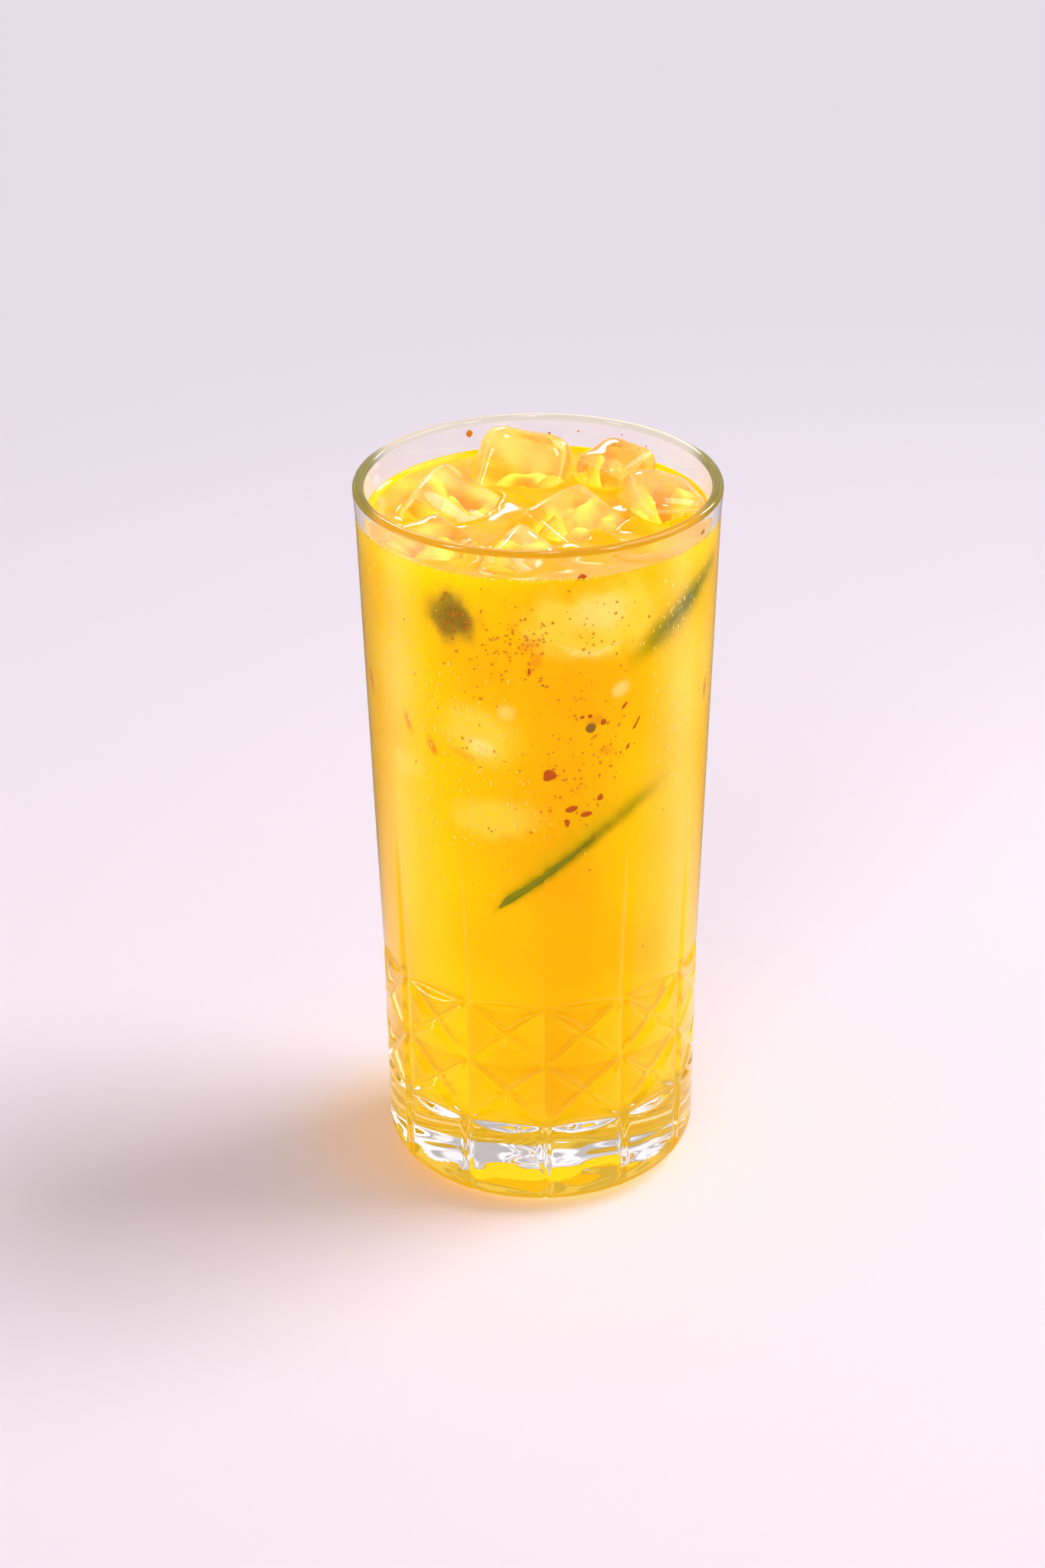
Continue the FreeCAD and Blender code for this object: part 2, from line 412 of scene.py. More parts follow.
# ---- finishes -----------------------------------------------------------------------------------
@dataclass(frozen=True)
class ClearBody:
    """Clear solid matter, such as soda-lime glass or ice, that lets lamps through.

    Light bends by the index, loses colour with depth, and lamps shine through with a faint cast.
    A cloudy body also scatters a share of the light just under its surface. A ray that has
    turned many times shows a painted glow instead, and a share of it shows on every ray.
    """

    name: str
    index: float = 1.5
    roughness: float = 0.0
    surface_tint: str = "#FFFFFF"   # what crossing the surface does to white
    cloud: float = 0.0              # share of the light that is scattered back
    depth_tint: str = "#DCE8C8"     # what white turns to over the depth of 1 / density
    density: float = 3.0            # per metre
    lamp_tint: str = "#FAFCF7"
    ripple_size: float = 14.0       # mm between ripples of the surface
    ripple_height: float = 0.03     # mm
    painted_glow: str = "#CFC6A6"     # painted glow, for the light that many mirrorings inside the wall carry on
    painted_glow_after: float = 7.5   # how many turns of a ray count as many
    painted_glow_always: float = 0.0    # share of the painted glow that the surface shows on every ray

    def material(self) -> bpy.types.Material:
        """Builds the shader.

        Returns:
            Principled glass, open to shadow rays, with absorption inside and a painted glow.
        """
        m = blank_material(self.name)
        glass = add_node(m, "ShaderNodeBsdfPrincipled", {
            "Base Color": rgba(self.surface_tint), "Roughness": self.roughness,
            "IOR": self.index, "Transmission Weight": 1 - self.cloud,
            "Subsurface Weight": 1.0 if self.cloud else 0.0,
            "Subsurface Radius": ICE_SCATTER, "Subsurface Scale": SCATTER_DEPTH,
            "Normal": noise_bump(m, self.ripple_size, self.ripple_height)}).outputs[0]
        # painted glow: emission on rays that have turned many times, and a share of it on every ray
        turns = add_node(m, "ShaderNodeLightPath").outputs["Ray Depth"]
        many = calculate(m, "GREATER_THAN", turns, self.painted_glow_after)
        painted_glow_shader = add_node(m, "ShaderNodeEmission", {"Color": self.painted_glow_colour(m)}).outputs[0]
        clear = blend_surface(m, calculate(m, "MAXIMUM", many, self.painted_glow_always), glass, painted_glow_shader)
        surface = self.clouded(m, open_to_lamps(m, clear, self.lamp_tint))
        inside = add_node(m, "ShaderNodeVolumeAbsorption", {
            "Color": rgba(self.depth_tint), "Density": self.density}).outputs[0]
        add_node(m, "ShaderNodeOutputMaterial", {"Surface": surface, "Volume": inside})
        return m

    def painted_glow_colour(self, material: bpy.types.Material) -> tuple | Socket:
        """Colour of the painted glow, for the light that many mirrorings in the wall carry on."""
        return rgba(self.painted_glow)

    def clouded(self, material: bpy.types.Material, surface: Socket) -> Socket:
        """The surface with whatever clouds it laid over it, here nothing."""
        return surface


@dataclass(frozen=True)
class PolishedRim(ClearBody):
    """Glass of the fire-polished lip, its painted glow drink-coloured in front, pale at the back,
    green at the sides.
    """

    glow_at_sides: str = "#74782E"
    glow_at_back: str = "#FFEFE6"
    front_to_back: tuple[float, float] = (-0.022, 0.016)    # metres along Y
    middle_to_side: tuple[float, float] = (0.0315, 0.0362)  # metres from the middle along X
    side_share: float = 0.85

    def painted_glow_colour(self, material: bpy.types.Material) -> tuple | Socket:
        """Colour of the painted glow, from the front's to the back's along Y and to the sides'
        along X.

        Args:
            material: the material that gets the nodes.

        Returns:
            The painted glow's colour at each point of the lip.
        """
        place = add_node(material, "ShaderNodeSeparateXYZ", {0: object_place(material)}).outputs
        backward = ramp(material, place["Y"], *self.front_to_back)
        sideways = ramp(material, calculate(material, "ABSOLUTE", place["X"]),
                        *self.middle_to_side, high=self.side_share, smooth=True)
        along = blend_colour(material, backward, rgba(self.painted_glow), rgba(self.glow_at_back))
        return blend_colour(material, sideways, along, rgba(self.glow_at_sides))


@dataclass(frozen=True)
class MeltingIce(ClearBody):
    """Clear ice, pale by the share that the mesh carries: milky ice and painted light on faces."""

    milk_and_painted_light: str = "#FFF09A"
    milk_roughness: float = 0.1
    milk_scatter: float = 0.6

    def clouded(self, material: bpy.types.Material, surface: Socket) -> Socket:
        """The clear ice with pale cloudy ice mixed in, as milky ice and painted light.

        Args:
            material: the material that gets the nodes.
            surface: the clear ice.

        Returns:
            The mixed surface.
        """
        milky = add_node(material, "ShaderNodeBsdfPrincipled", {
            "Base Color": rgba(self.milk_and_painted_light), "Roughness": self.milk_roughness, "IOR": ICE_INDEX,
            "Subsurface Weight": self.milk_scatter, "Subsurface Radius": ICE_SCATTER,
            "Subsurface Scale": SCATTER_DEPTH}).outputs[0]
        share = add_node(material, "ShaderNodeAttribute", attribute_name="milk_and_painted_light").outputs["Fac"]
        return blend_surface(material, share, surface, milky)


@dataclass(frozen=True)
class CloudyJuice:
    """Cloudy mango juice: light sinks in and comes back yellow, pulp makes fine mottling."""

    name: str
    roughness: float
    gloss: float            # specular level
    glow: float = 0.0       # painted glow, for the light that the drink carries down to this face
    lamp_tint: str = "#8A6A34"
    index: float = 1.35
    scatter: float = 0.5
    pulp_size: float = 1.6  # mm between flecks of pulp
    pulp_from: float = 0.45     # noise at which pulp starts to show,
    pulp_to: float = 0.75       # shows fully,
    pulp_share: float = 0.16    # and how strongly it does

    def material(self) -> bpy.types.Material:
        """Builds the shader.

        Returns:
            The colour that the mesh carries as "drink", mottled by fine pulp, and a painted glow.
        """
        m = blank_material(self.name)
        drink = add_node(m, "ShaderNodeAttribute", attribute_name="drink").outputs["Color"]
        pulp = ramp(m, speckle(m, self.pulp_size, 4.0, 0.6), self.pulp_from, self.pulp_to,
                    high=self.pulp_share)
        body = add_node(m, "ShaderNodeBsdfPrincipled", {
            "Base Color": blend_colour(m, pulp, drink, rgba(Shade.MANGO_PALE.value)),
            "Roughness": self.roughness, "Specular IOR Level": self.gloss, "IOR": self.index,
            "Subsurface Weight": self.scatter, "Subsurface Radius": JUICE_SCATTER,
            "Subsurface Scale": SCATTER_DEPTH, "Emission Color": rgba(Shade.MANGO.value),
            "Emission Strength": self.glow}).outputs[0]
        add_node(m, "ShaderNodeOutputMaterial", {
            "Surface": open_to_lamps(m, body, self.lamp_tint)})
        return m


@dataclass(frozen=True)
class WetBit:
    """A soaked scrap of chilli, herb or peel: one colour that varies from spot to spot."""

    name: str
    colour: str
    light_colour: str
    roughness: float
    grain: float            # mm between light and dark spots
    gloss: float = 0.2

    def material(self) -> bpy.types.Material:
        """Builds the shader.

        Returns:
            Two shades of the bit mixed by noise, matt under the juice.
        """
        m = blank_material(self.name)
        shades = blend_colour(m, speckle(m, self.grain, 3.0), rgba(self.colour),
                              rgba(self.light_colour))
        body = add_node(m, "ShaderNodeBsdfPrincipled", {
            "Base Color": shades, "Roughness": self.roughness, "Specular IOR Level": self.gloss})
        add_node(m, "ShaderNodeOutputMaterial", {"Surface": body.outputs[0]})
        return m


@dataclass(frozen=True)
class PaleFloor:
    """Plain pale table top with a faint pink cast, which glass mirrors dimly in front of it.

    Distances are metres.
    """

    name: str = "pale_table"
    colour: str = "#EBE1EA"
    roughness: float = 0.8
    mirrored: str = "#4C4849"
    pale_from: float = -0.09    # place on Y: what is mirrored is dim before this,
    pale_to: float = 0.03       # as pale as the table from here
    dim_from: float = 0.05      # to here,
    dim_to: float = 0.14        # and dim again from here on,
    dim_share: float = 0.85     # though not quite as dim
    painted_warm_pool: str = "#FFD98A"     # painted light: a warm pool for the light the drink throws round the foot
    warm_centre: tuple[float, float] = (-0.018, 0.003)
    warm_from: float = 0.022
    warm_to: float = 0.044
    warm_share: float = 0.35
    cast: str = "#FFC400"       # painted glow: emission for the light the drink throws under the foot
    cast_from: float = 0.022
    cast_to: float = 0.030
    cast_strength: float = 0.45
    melt_from: float = 0.18     # distance from the glass: from here the table melts
    melt_to: float = 0.62       # into the plain backdrop

    def tone(self, m: bpy.types.Material, path: bpy.types.bpy_prop_collection) -> Socket:
        """The table's colour, with a painted warm pool of light near the glass, dim where glass
        mirrors it.

        Args:
            m: the material that gets the nodes.
            path: outputs of the material's Light Path node.

        Returns:
            The colour.
        """
        straight = calculate(m, "SUBTRACT", 1.0, path["Is Transmission Ray"])
        mirror = calculate(m, "MULTIPLY", path["Is Glossy Ray"], straight)
        along = add_node(m, "ShaderNodeSeparateXYZ", {0: object_place(m)}).outputs["Y"]
        near = ramp(m, along, self.pale_from, self.pale_to, 1.0, 0.0)
        far = ramp(m, along, self.dim_from, self.dim_to, high=self.dim_share)
        dim = calculate(m, "MULTIPLY", mirror, calculate(m, "MAXIMUM", near, far))
        seen = blend_colour(m, dim, rgba(self.colour), rgba(self.mirrored))
        # painted light: a warm pool on the table round the foot
        away = add_node(m, "ShaderNodeVectorMath", {
            0: object_place(m), 1: (*self.warm_centre, 0.0)}, operation="DISTANCE")
        warm = ramp(m, away.outputs["Value"], self.warm_from, self.warm_to, self.warm_share, 0.0,
                    smooth=True)
        return blend_colour(m, warm, seen, rgba(self.painted_warm_pool))

    def material(self) -> bpy.types.Material:
        """Builds the shader.

        Returns:
            A matt table with a painted glow under the foot, melting into the backdrop far away.
        """
        m = blank_material(self.name)
        path = add_node(m, "ShaderNodeLightPath").outputs
        away = add_node(m, "ShaderNodeVectorMath", {0: object_place(m)},
                        operation="LENGTH").outputs["Value"]
        table = add_node(m, "ShaderNodeBsdfPrincipled", {
            "Base Color": self.tone(m, path), "Roughness": self.roughness,
            # painted glow: emission under the foot for the drink's light on the table
            "Specular IOR Level": 0.0, "Emission Color": rgba(self.cast),
            "Emission Strength": ramp(m, away, self.cast_from, self.cast_to,
                                      self.cast_strength, 0.0)}).outputs[0]
        looked_at = calculate(m, "MAXIMUM", path["Is Camera Ray"], path["Is Transmission Ray"])
        melted = calculate(m, "MULTIPLY", ramp(m, away, self.melt_from, self.melt_to, smooth=True),
                           looked_at)
        plain = add_node(m, "ShaderNodeEmission", {"Color": rgba(BACKDROP)}).outputs[0]
        add_node(m, "ShaderNodeOutputMaterial", {
            "Surface": blend_surface(m, melted, table, plain)})
        return m


# pressed soda-lime glass: clear, faintly green in depth, with a slow ripple from the mould, and a
# painted golden glow where rays have turned many times
TUMBLER_GLASS = ClearBody("soda_lime_glass", painted_glow="#DDBB74", painted_glow_after=5.5)
# the same glass, fire-polished: smooth, and its round edge shows a painted glow in the drink's
# colour
RIM_GLASS = PolishedRim("fire_polished_rim", surface_tint="#FBFCF4", painted_glow="#FFB01C",
                        painted_glow_after=0.5, painted_glow_always=0.7)
# the same glass at the foot, tinted yellow and with a painted glow for the drink's light that it
# shows
FOOT_GLASS = ClearBody("foot_with_painted_drink_glow", surface_tint="#FFC224", painted_glow="#FFC406",
                       painted_glow_always=0.45)
# tray ice that has begun to melt: wet and smooth, milky where air froze in, with painted light on
# its faces and ridges and a painted glow where rays have turned many times
MELTING_ICE = MeltingIce("melting_ice", index=ICE_INDEX, surface_tint="#FFFCF0", cloud=0.02,
                         depth_tint="#FFEBA8", density=12.0, lamp_tint="#FFF6DC",
                         ripple_size=9.0, ripple_height=0.07, painted_glow="#FFD24A")
# cloudy juice: matt behind the glass, glossy where it is open, with a painted glow on the base
JUICE_BEHIND_GLASS = CloudyJuice("juice_behind_glass", 0.5, 0.05)
OPEN_JUICE = CloudyJuice("juice_open_surface", 0.10, 0.16)
JUICE_ABOVE_BASE = CloudyJuice("juice_above_base", 0.5, 0.05, glow=0.6)
# soaked bits, all matt: dried chilli, seed, cucumber peel and froth
CHILLI = WetBit("soaked_chilli", Shade.CHILLI.value, "#CC6608", 0.5, 0.9)
PALE_CHILLI = WetBit("pale_chilli", Shade.CHILLI_PALE.value, "#E89A18", 0.5, 0.8)
SEED_JELLY = WetBit("seed_jelly", "#DB8C10", "#A85A08", 0.5, 0.6)
SOAKED_SEED = WetBit("soaked_seed", Shade.SEED.value, "#94681E", 0.5, 0.7)
CUCUMBER_PEEL = WetBit("cucumber_rind", Shade.CUCUMBER_RIND.value, "#8E8A06", 0.5, 1.6)
FROTH = WetBit("froth_fleck", "#FFD83C", "#FFE88A", 0.4, 0.6)


# ---- the glass ----------------------------------------------------------------------------------
@dataclass
class Tumbler:
    """Pressed highball glass: heavy base, twelve flutes and a belt of crossed V-cuts."""

    high_corner: tuple[float, float, float]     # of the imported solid
    juice_floor: float
    lip_radius: float = 1.2
    bead_height: float = 5.0
    bead_reach: float = 0.45
    belt_top: float = 52.0
    belt_top_radius: float = 34.6
    foot_radius: float = 33.9
    foot_rounding: float = 8.2
    inner_foot_radius: float = 30.0
    inner_foot: float = 26.0
    inner_corner: float = 5.0
    underside_radius: float = 24.0
    underside_rise: float = 2.0
    flutes: int = 12
    first_flute: float = 1.75
    half_angle: float = 55.0
    flute_depth: float = 0.9
    flute_fade: float = 96.0
    belt_levels: tuple[float, ...] = (22.0, 36.5, 51.0)
    node_depth: float = 0.15
    level_cut_depth: float = 0.02
    cell_columns: int = 32
    polish: float = 0.06    # how far the polished edges of the cuts are rounded
    wobble: float = 0.18    # height of the waves that pressing leaves in the underside
    painted_glow_height: float = 8.6   # how far up the foot the painted glow of the drink reaches
    painted_glow_waves: float = 0.9
    underside_rings: int = 18
    foot_rings: int = 26
    middle_radius: float = 2.0  # where the inner floor's last ring closes to its pole

    @property
    def cell_angle(self) -> float:
        """Degrees from one flute to the next."""
        return 360 / self.flutes

    @property
    def cut_slope(self) -> float:
        """How much shallower a V-cut gets for each millimetre from its bottom line."""
        return 1 / math.tan(math.radians(self.half_angle))

    @property
    def lip_z(self) -> float:
        """Height at which the wall ends and the rounded lip starts."""
        return self.height - self.lip_radius

    @property
    def rim_radius(self) -> float:
        """Radius of the rim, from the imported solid."""
        return self.high_corner[0]

    @property
    def height(self) -> float:
        """Height of the rim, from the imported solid."""
        return self.high_corner[2]

    @property
    def inner_slope(self) -> float:
        """Growth of the inner radius for each millimetre of height."""
        lip_inside = self.rim_radius - 2 * self.lip_radius
        return (lip_inside - self.inner_foot_radius) / (self.lip_z - self.inner_foot)

    def inner_radius(self, z: np.ndarray) -> np.ndarray:
        """Radius of the straight inner wall at a height."""
        return self.inner_foot_radius + self.inner_slope * (z - self.inner_foot)

    def outer_radius(self, z: np.ndarray) -> np.ndarray:
        """Radius of the uncut outer wall at a height, by straight runs between its turns."""
        return np.interp(z, [self.foot_rounding, self.belt_top, self.lip_z - self.bead_height,
                             self.lip_z],
                         [self.foot_radius, self.belt_top_radius,
                          self.rim_radius - self.bead_reach, self.rim_radius])

    def inner_profile(self, grow: float, wall_heights: np.ndarray) -> np.ndarray:
        """(radius, height) points of the inside from the wall down to the edge of the floor.

        Args:
            grow: how far the profile is moved into the glass.
            wall_heights: heights of the points on the straight wall, from the top down.

        Returns:
            The wall's points, then the rounded corner's.
        """
        lean = math.degrees(math.atan(self.inner_slope))
        centre_z = self.juice_floor + self.inner_corner
        centre_r = self.inner_radius(centre_z) - self.inner_corner / math.cos(math.radians(lean))
        wall = np.stack([self.inner_radius(wall_heights) + grow, wall_heights], 1)
        corner = arc_points((centre_r, centre_z), self.inner_corner + grow, -lean, -90, 12)
        return np.vstack([wall, corner])

    def belt_heights(self) -> np.ndarray:
        """Heights of the rings in the belt, as many to a cell as it has columns."""
        rows = len(self.belt_levels) - 1
        return np.linspace(self.belt_levels[0], self.belt_levels[-1],
                           rows * self.cell_columns + 1)

    def straight_cut(self, radius: float, start: tuple[float, float], end: tuple[float, float],
                     angle: np.ndarray, z: np.ndarray) -> np.ndarray:
        """Radius left by a straight V-cut between two nodes, in closed form.

        The cut's two faces are planes through its bottom line.  A wall point at radius r along
        a direction lies in the cut where r is beyond both planes, so the larger of the two
        radii at which the ray meets them is what the cut leaves.

        Args:
            radius: radius of the bottom line's ends.
            start: angle and height of one end.
            end: angle and height of the other end.
            angle: angles of the grid, in degrees.
            z: heights of the grid.

        Returns:
            The radius left at each grid point.
        """
        a, b = (around(np.array(radius), np.array(p[0]), np.array(p[1])) for p in (start, end))
        along = (b - a) / np.linalg.norm(b - a)
        middle = (a + b) / 2
        outward = np.array([middle[0], middle[1], 0.0])
        outward -= along * (outward @ along)
        outward /= np.linalg.norm(outward)
        across = np.cross(along, outward)
        ray = around(np.array(1.0), angle, np.array(0.0))
        met = []
        for side in (1, -1):
            plane = outward - side * self.cut_slope * across
            met.append((a @ plane - z * plane[2]) / (ray @ plane))
        return soft_max(*met, blend=self.polish)

    def belt_depth(self, angle: np.ndarray, z: np.ndarray) -> np.ndarray:
        """Depth of the belt's straight cuts: the deepest of the diagonals and the level cuts.

        Args:
            angle: angles within one cell.
            z: heights, to go with the angles.

        Returns:
            Depth below the uncut wall, negative between the cuts.
        """
        wall = self.outer_radius(z)
        levels = self.belt_levels
        runs = [(a, b) for pair in zip(levels, levels[1:]) for a, b in (pair, pair[::-1])]
        runs += [(levels[0], levels[0]), (levels[-1], levels[-1])]
        layers = []
        for start, end in runs:
            depth = self.node_depth if start != end else self.level_cut_depth
            radius = float(self.outer_radius(np.array((start + end) / 2))) - depth
            layers.append(wall - self.straight_cut(radius, (0, start), (self.cell_angle, end),
                                                   angle, z))
        return np.max(np.stack(np.broadcast_arrays(*layers)), axis=0)

    def polished(self, *cuts: np.ndarray) -> np.ndarray:
        """Depth of the deepest cut, its edges rounded over and zero on the uncut wall."""
        depth = soft_max(np.zeros_like(cuts[0]), *cuts, blend=self.polish)
        return depth - self.polish * math.log(2)

    def cut_depth(self, angle: np.ndarray, z: np.ndarray) -> np.ndarray:
        """Depth of all cuts on the upright wall.

        A flute is a V-cut whose depth falls off sideways by the slope of its faces, and which
        fades out above the belt.

        Args:
            angle: angles within one cell, 0 to the flutes' spacing.
            z: heights, to go with the angles.

        Returns:
            Depth below the uncut wall, with polished edges.
        """
        sideways = np.radians(np.minimum(angle, self.cell_angle - angle)) * self.outer_radius(z)
        fade = np.interp(z, [self.foot_rounding, self.belt_top,
                             (self.belt_top + self.flute_fade) / 2, self.flute_fade],
                         [1.0, 1.0, 0.7, 0.0])
        flute = self.flute_depth * fade - sideways * self.cut_slope
        return self.polished(flute, self.belt_depth(angle, z))

    def facet_tilt(self, angle: np.ndarray, z: np.ndarray, step: float = 0.5) -> np.ndarray:
        """How far the cut wall leans up or down, from the slope of its depth.

        Args:
            angle: angles round the glass.
            z: heights, to go with the angles.
            step: distance over which the slope is taken.

        Returns:
            1 on a face that leans fully up, -1 on one that leans fully down.
        """
        cell = (angle - self.first_flute) % self.cell_angle
        z = np.clip(z, self.foot_rounding + step, None)
        slope = (self.cut_depth(cell, z + step) - self.cut_depth(cell, z - step)) / (2 * step)
        return np.clip(slope / self.cut_slope, -1, 1)

    def facet_light(self, angle: np.ndarray, z: np.ndarray) -> np.ndarray:
        """How light or dark the juice looks behind the cuts' triangles: painted light and shade.

        In a cell's own coordinates from -0.5 to 0.5, the two diagonals part it into four
        triangles. The side ones are dark on the left and light on the right, the upper one is
        darkest under its edge, and each fades towards the middle of the cell.

        Args:
            angle: angles round the glass.
            z: heights, to go with the angles.

        Returns:
            1 for the lightest, -1 for the darkest and 0 off the belt.
        """
        low, high = self.belt_levels[0], self.belt_levels[-1]
        across = ((angle - self.first_flute) / self.cell_angle) % 1.0 - 0.5
        up = ((z - low) / (self.belt_levels[1] - low)) % 1.0 - 0.5
        sideways = np.abs(across) > np.abs(up)
        light = np.where(sideways, np.where(across > 0, 0.9, -0.7) * np.abs(across) * 2,
                         np.where(up > 0, -0.9, 0.25) * np.abs(up) * 2)
        inside = np.clip((z - low + 1) / 3, 0, 1) * np.clip((high - z) / 0.6, 0, 1)
        return light * inside

    def cell_columns_at(self) -> np.ndarray:
        """Angles of the grid's columns within one cell."""
        return np.arange(self.cell_columns) * (self.cell_angle / self.cell_columns)

    def column_angles(self) -> np.ndarray:
        """Angles of all the grid's columns round the glass."""
        count = self.cell_columns * self.flutes
        return self.first_flute + np.arange(count) * (360 / count)

    def underside_grid(self) -> np.ndarray:
        """Rings of the underside: a dome, rise * (1 - share ** 2), with waves from pressing.

        Returns:
            rings x columns x 3, from the middle outwards.
        """
        share = np.linspace(0.06, 1.0, self.underside_rings)[:, None]
        rings = around(self.underside_radius * share, self.column_angles(),
                       self.underside_rise * (1 - share ** 2))
        rings[..., 2] += self.wobble * np.minimum(1.0, (1 - share) * 6) * waves(rings, 12.0, 61)
        return rings

    def foot_grid(self) -> np.ndarray:
        """Rings of the rounded foot: a quarter circle, cut by flutes that grow deeper upwards.

        Returns:
            rings x columns x 3, from the contact ring up to the wall.
        """
        cell = self.cell_columns_at()
        turn = np.linspace(-90, -3, self.foot_rings)[:, None]
        # a flute starts 18 degrees up from the contact ring and is full where the wall starts
        share = np.interp(turn + 90, [18, 36, 54, 72, 90], [0, 0.6, 0.8, 0.95, 1.0])
        out, up = np.cos(np.radians(turn)), np.sin(np.radians(turn))
        wall = self.foot_radius - self.foot_rounding + self.foot_rounding * out
        sideways = np.radians(np.minimum(cell, self.cell_angle - cell))
        depth = self.polished(self.flute_depth * share - sideways * wall * self.cut_slope)
        depth = np.tile(depth, self.flutes).clip(0)
        return around(wall - depth * out, self.column_angles(),
                      self.foot_rounding + (self.foot_rounding - depth) * up)

    def wall_grid(self) -> np.ndarray:
        """Rings of the cut wall, closest together in the belt.

        Returns:
            rings x columns x 3, from the foot up to the lip.
        """
        low, high = self.belt_levels[0], self.belt_levels[-1]
        bead_z = self.lip_z - self.bead_height
        heights = np.concatenate([
            np.linspace(self.foot_rounding, low - 0.45, 24), self.belt_heights(),
            np.linspace(high + 0.4, high + 3.6, 9), np.linspace(high + 5, self.flute_fade, 14),
            np.linspace(self.flute_fade + 5, bead_z, 9),
            np.linspace(bead_z + 1.2, self.lip_z, 5)])[:, None]
        depth = np.tile(self.cut_depth(self.cell_columns_at(), heights), self.flutes).clip(0)
        return around(self.outer_radius(heights) - depth, self.column_angles(), heights)

    def inner_grid(self) -> np.ndarray:
        """Rings of the half-round lip, the straight inside and the floor.

        Returns:
            rings x columns x 3, from the lip's outer edge to the middle of the floor.
        """
        lip = arc_points((self.rim_radius - self.lip_radius, self.lip_z), self.lip_radius, 0, 180,
                         13)[1:]
        inside = self.inner_profile(0.0, np.linspace(self.lip_z - 2, self.juice_floor + 7, 26))
        floor = run_points(tuple(inside[-1]), (self.middle_radius, self.juice_floor), 8)
        profile = np.vstack([lip, inside, floor])
        return around(profile[:, 0:1], self.column_angles(), profile[:, 1:2])

    def split_belt(self, vertices: np.ndarray, quads: np.ndarray,
                   wall_quads: int) -> tuple[np.ndarray, np.ndarray]:
        """Splits the belt's quads along the cuts, so that the diagonals stay sharp and straight.

        Args:
            vertices: positions of the whole glass.
            quads: its quads, ring by ring from the underside.
            wall_quads: how many of them lie on the outside.

        Returns:
            The quads that are left and the triangles.
        """
        low, high = self.belt_levels[0], self.belt_levels[-1]
        centre_z = vertices[quads][:, :, 2].mean(axis=1)
        column = np.arange(len(quads)) % self.cell_columns
        step = (high - low) / (len(self.belt_levels) - 1)
        rising = (column < self.cell_columns / 2) == (((centre_z - low) / step) % 1.0 < 0.5)
        belt = (np.arange(len(quads)) < wall_quads) & (centre_z > low) & (centre_z < high)
        split, up = quads[belt], rising[belt][:, None]
        first = np.where(up, split[:, [0, 1, 2]], split[:, [0, 1, 3]])
        second = np.where(up, split[:, [0, 2, 3]], split[:, [1, 2, 3]])
        return quads[~belt], np.vstack([first, second])

    def build(self, finish: ClearBody, rim_finish: ClearBody,
              foot_finish: ClearBody) -> bpy.types.Object:
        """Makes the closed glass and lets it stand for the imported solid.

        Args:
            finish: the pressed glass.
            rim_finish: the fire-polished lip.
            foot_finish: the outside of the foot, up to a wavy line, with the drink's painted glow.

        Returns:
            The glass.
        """
        outer = np.concatenate([self.underside_grid(), self.foot_grid(), self.wall_grid()])
        vertices, quads, caps = closed_grid(
            np.concatenate([outer, self.inner_grid()]), np.array([0, 0, self.underside_rise]),
            np.array([0, 0, self.juice_floor]))
        kept, parts = self.split_belt(vertices, quads, (len(outer) - 1) * outer.shape[1])
        middle = vertices[kept].mean(axis=1)
        lip = middle[:, 2] > self.lip_z
        # faces of the foot that get the painted glow of the drink
        foot = (middle[:, 2] < self.painted_glow_height + self.painted_glow_waves * waves(middle, 9.0, 71)) & (
            np.hypot(middle[:, 0], middle[:, 1]) > self.underside_radius + 4)
        slots = np.concatenate([lip + 2 * foot, np.zeros(len(parts) + len(caps))])
        piece = mesh_piece("glass_body", vertices, kept, np.vstack([parts, caps]),
                           [f.material() for f in (finish, rim_finish, foot_finish)], slots)
        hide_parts("glass")
        return piece


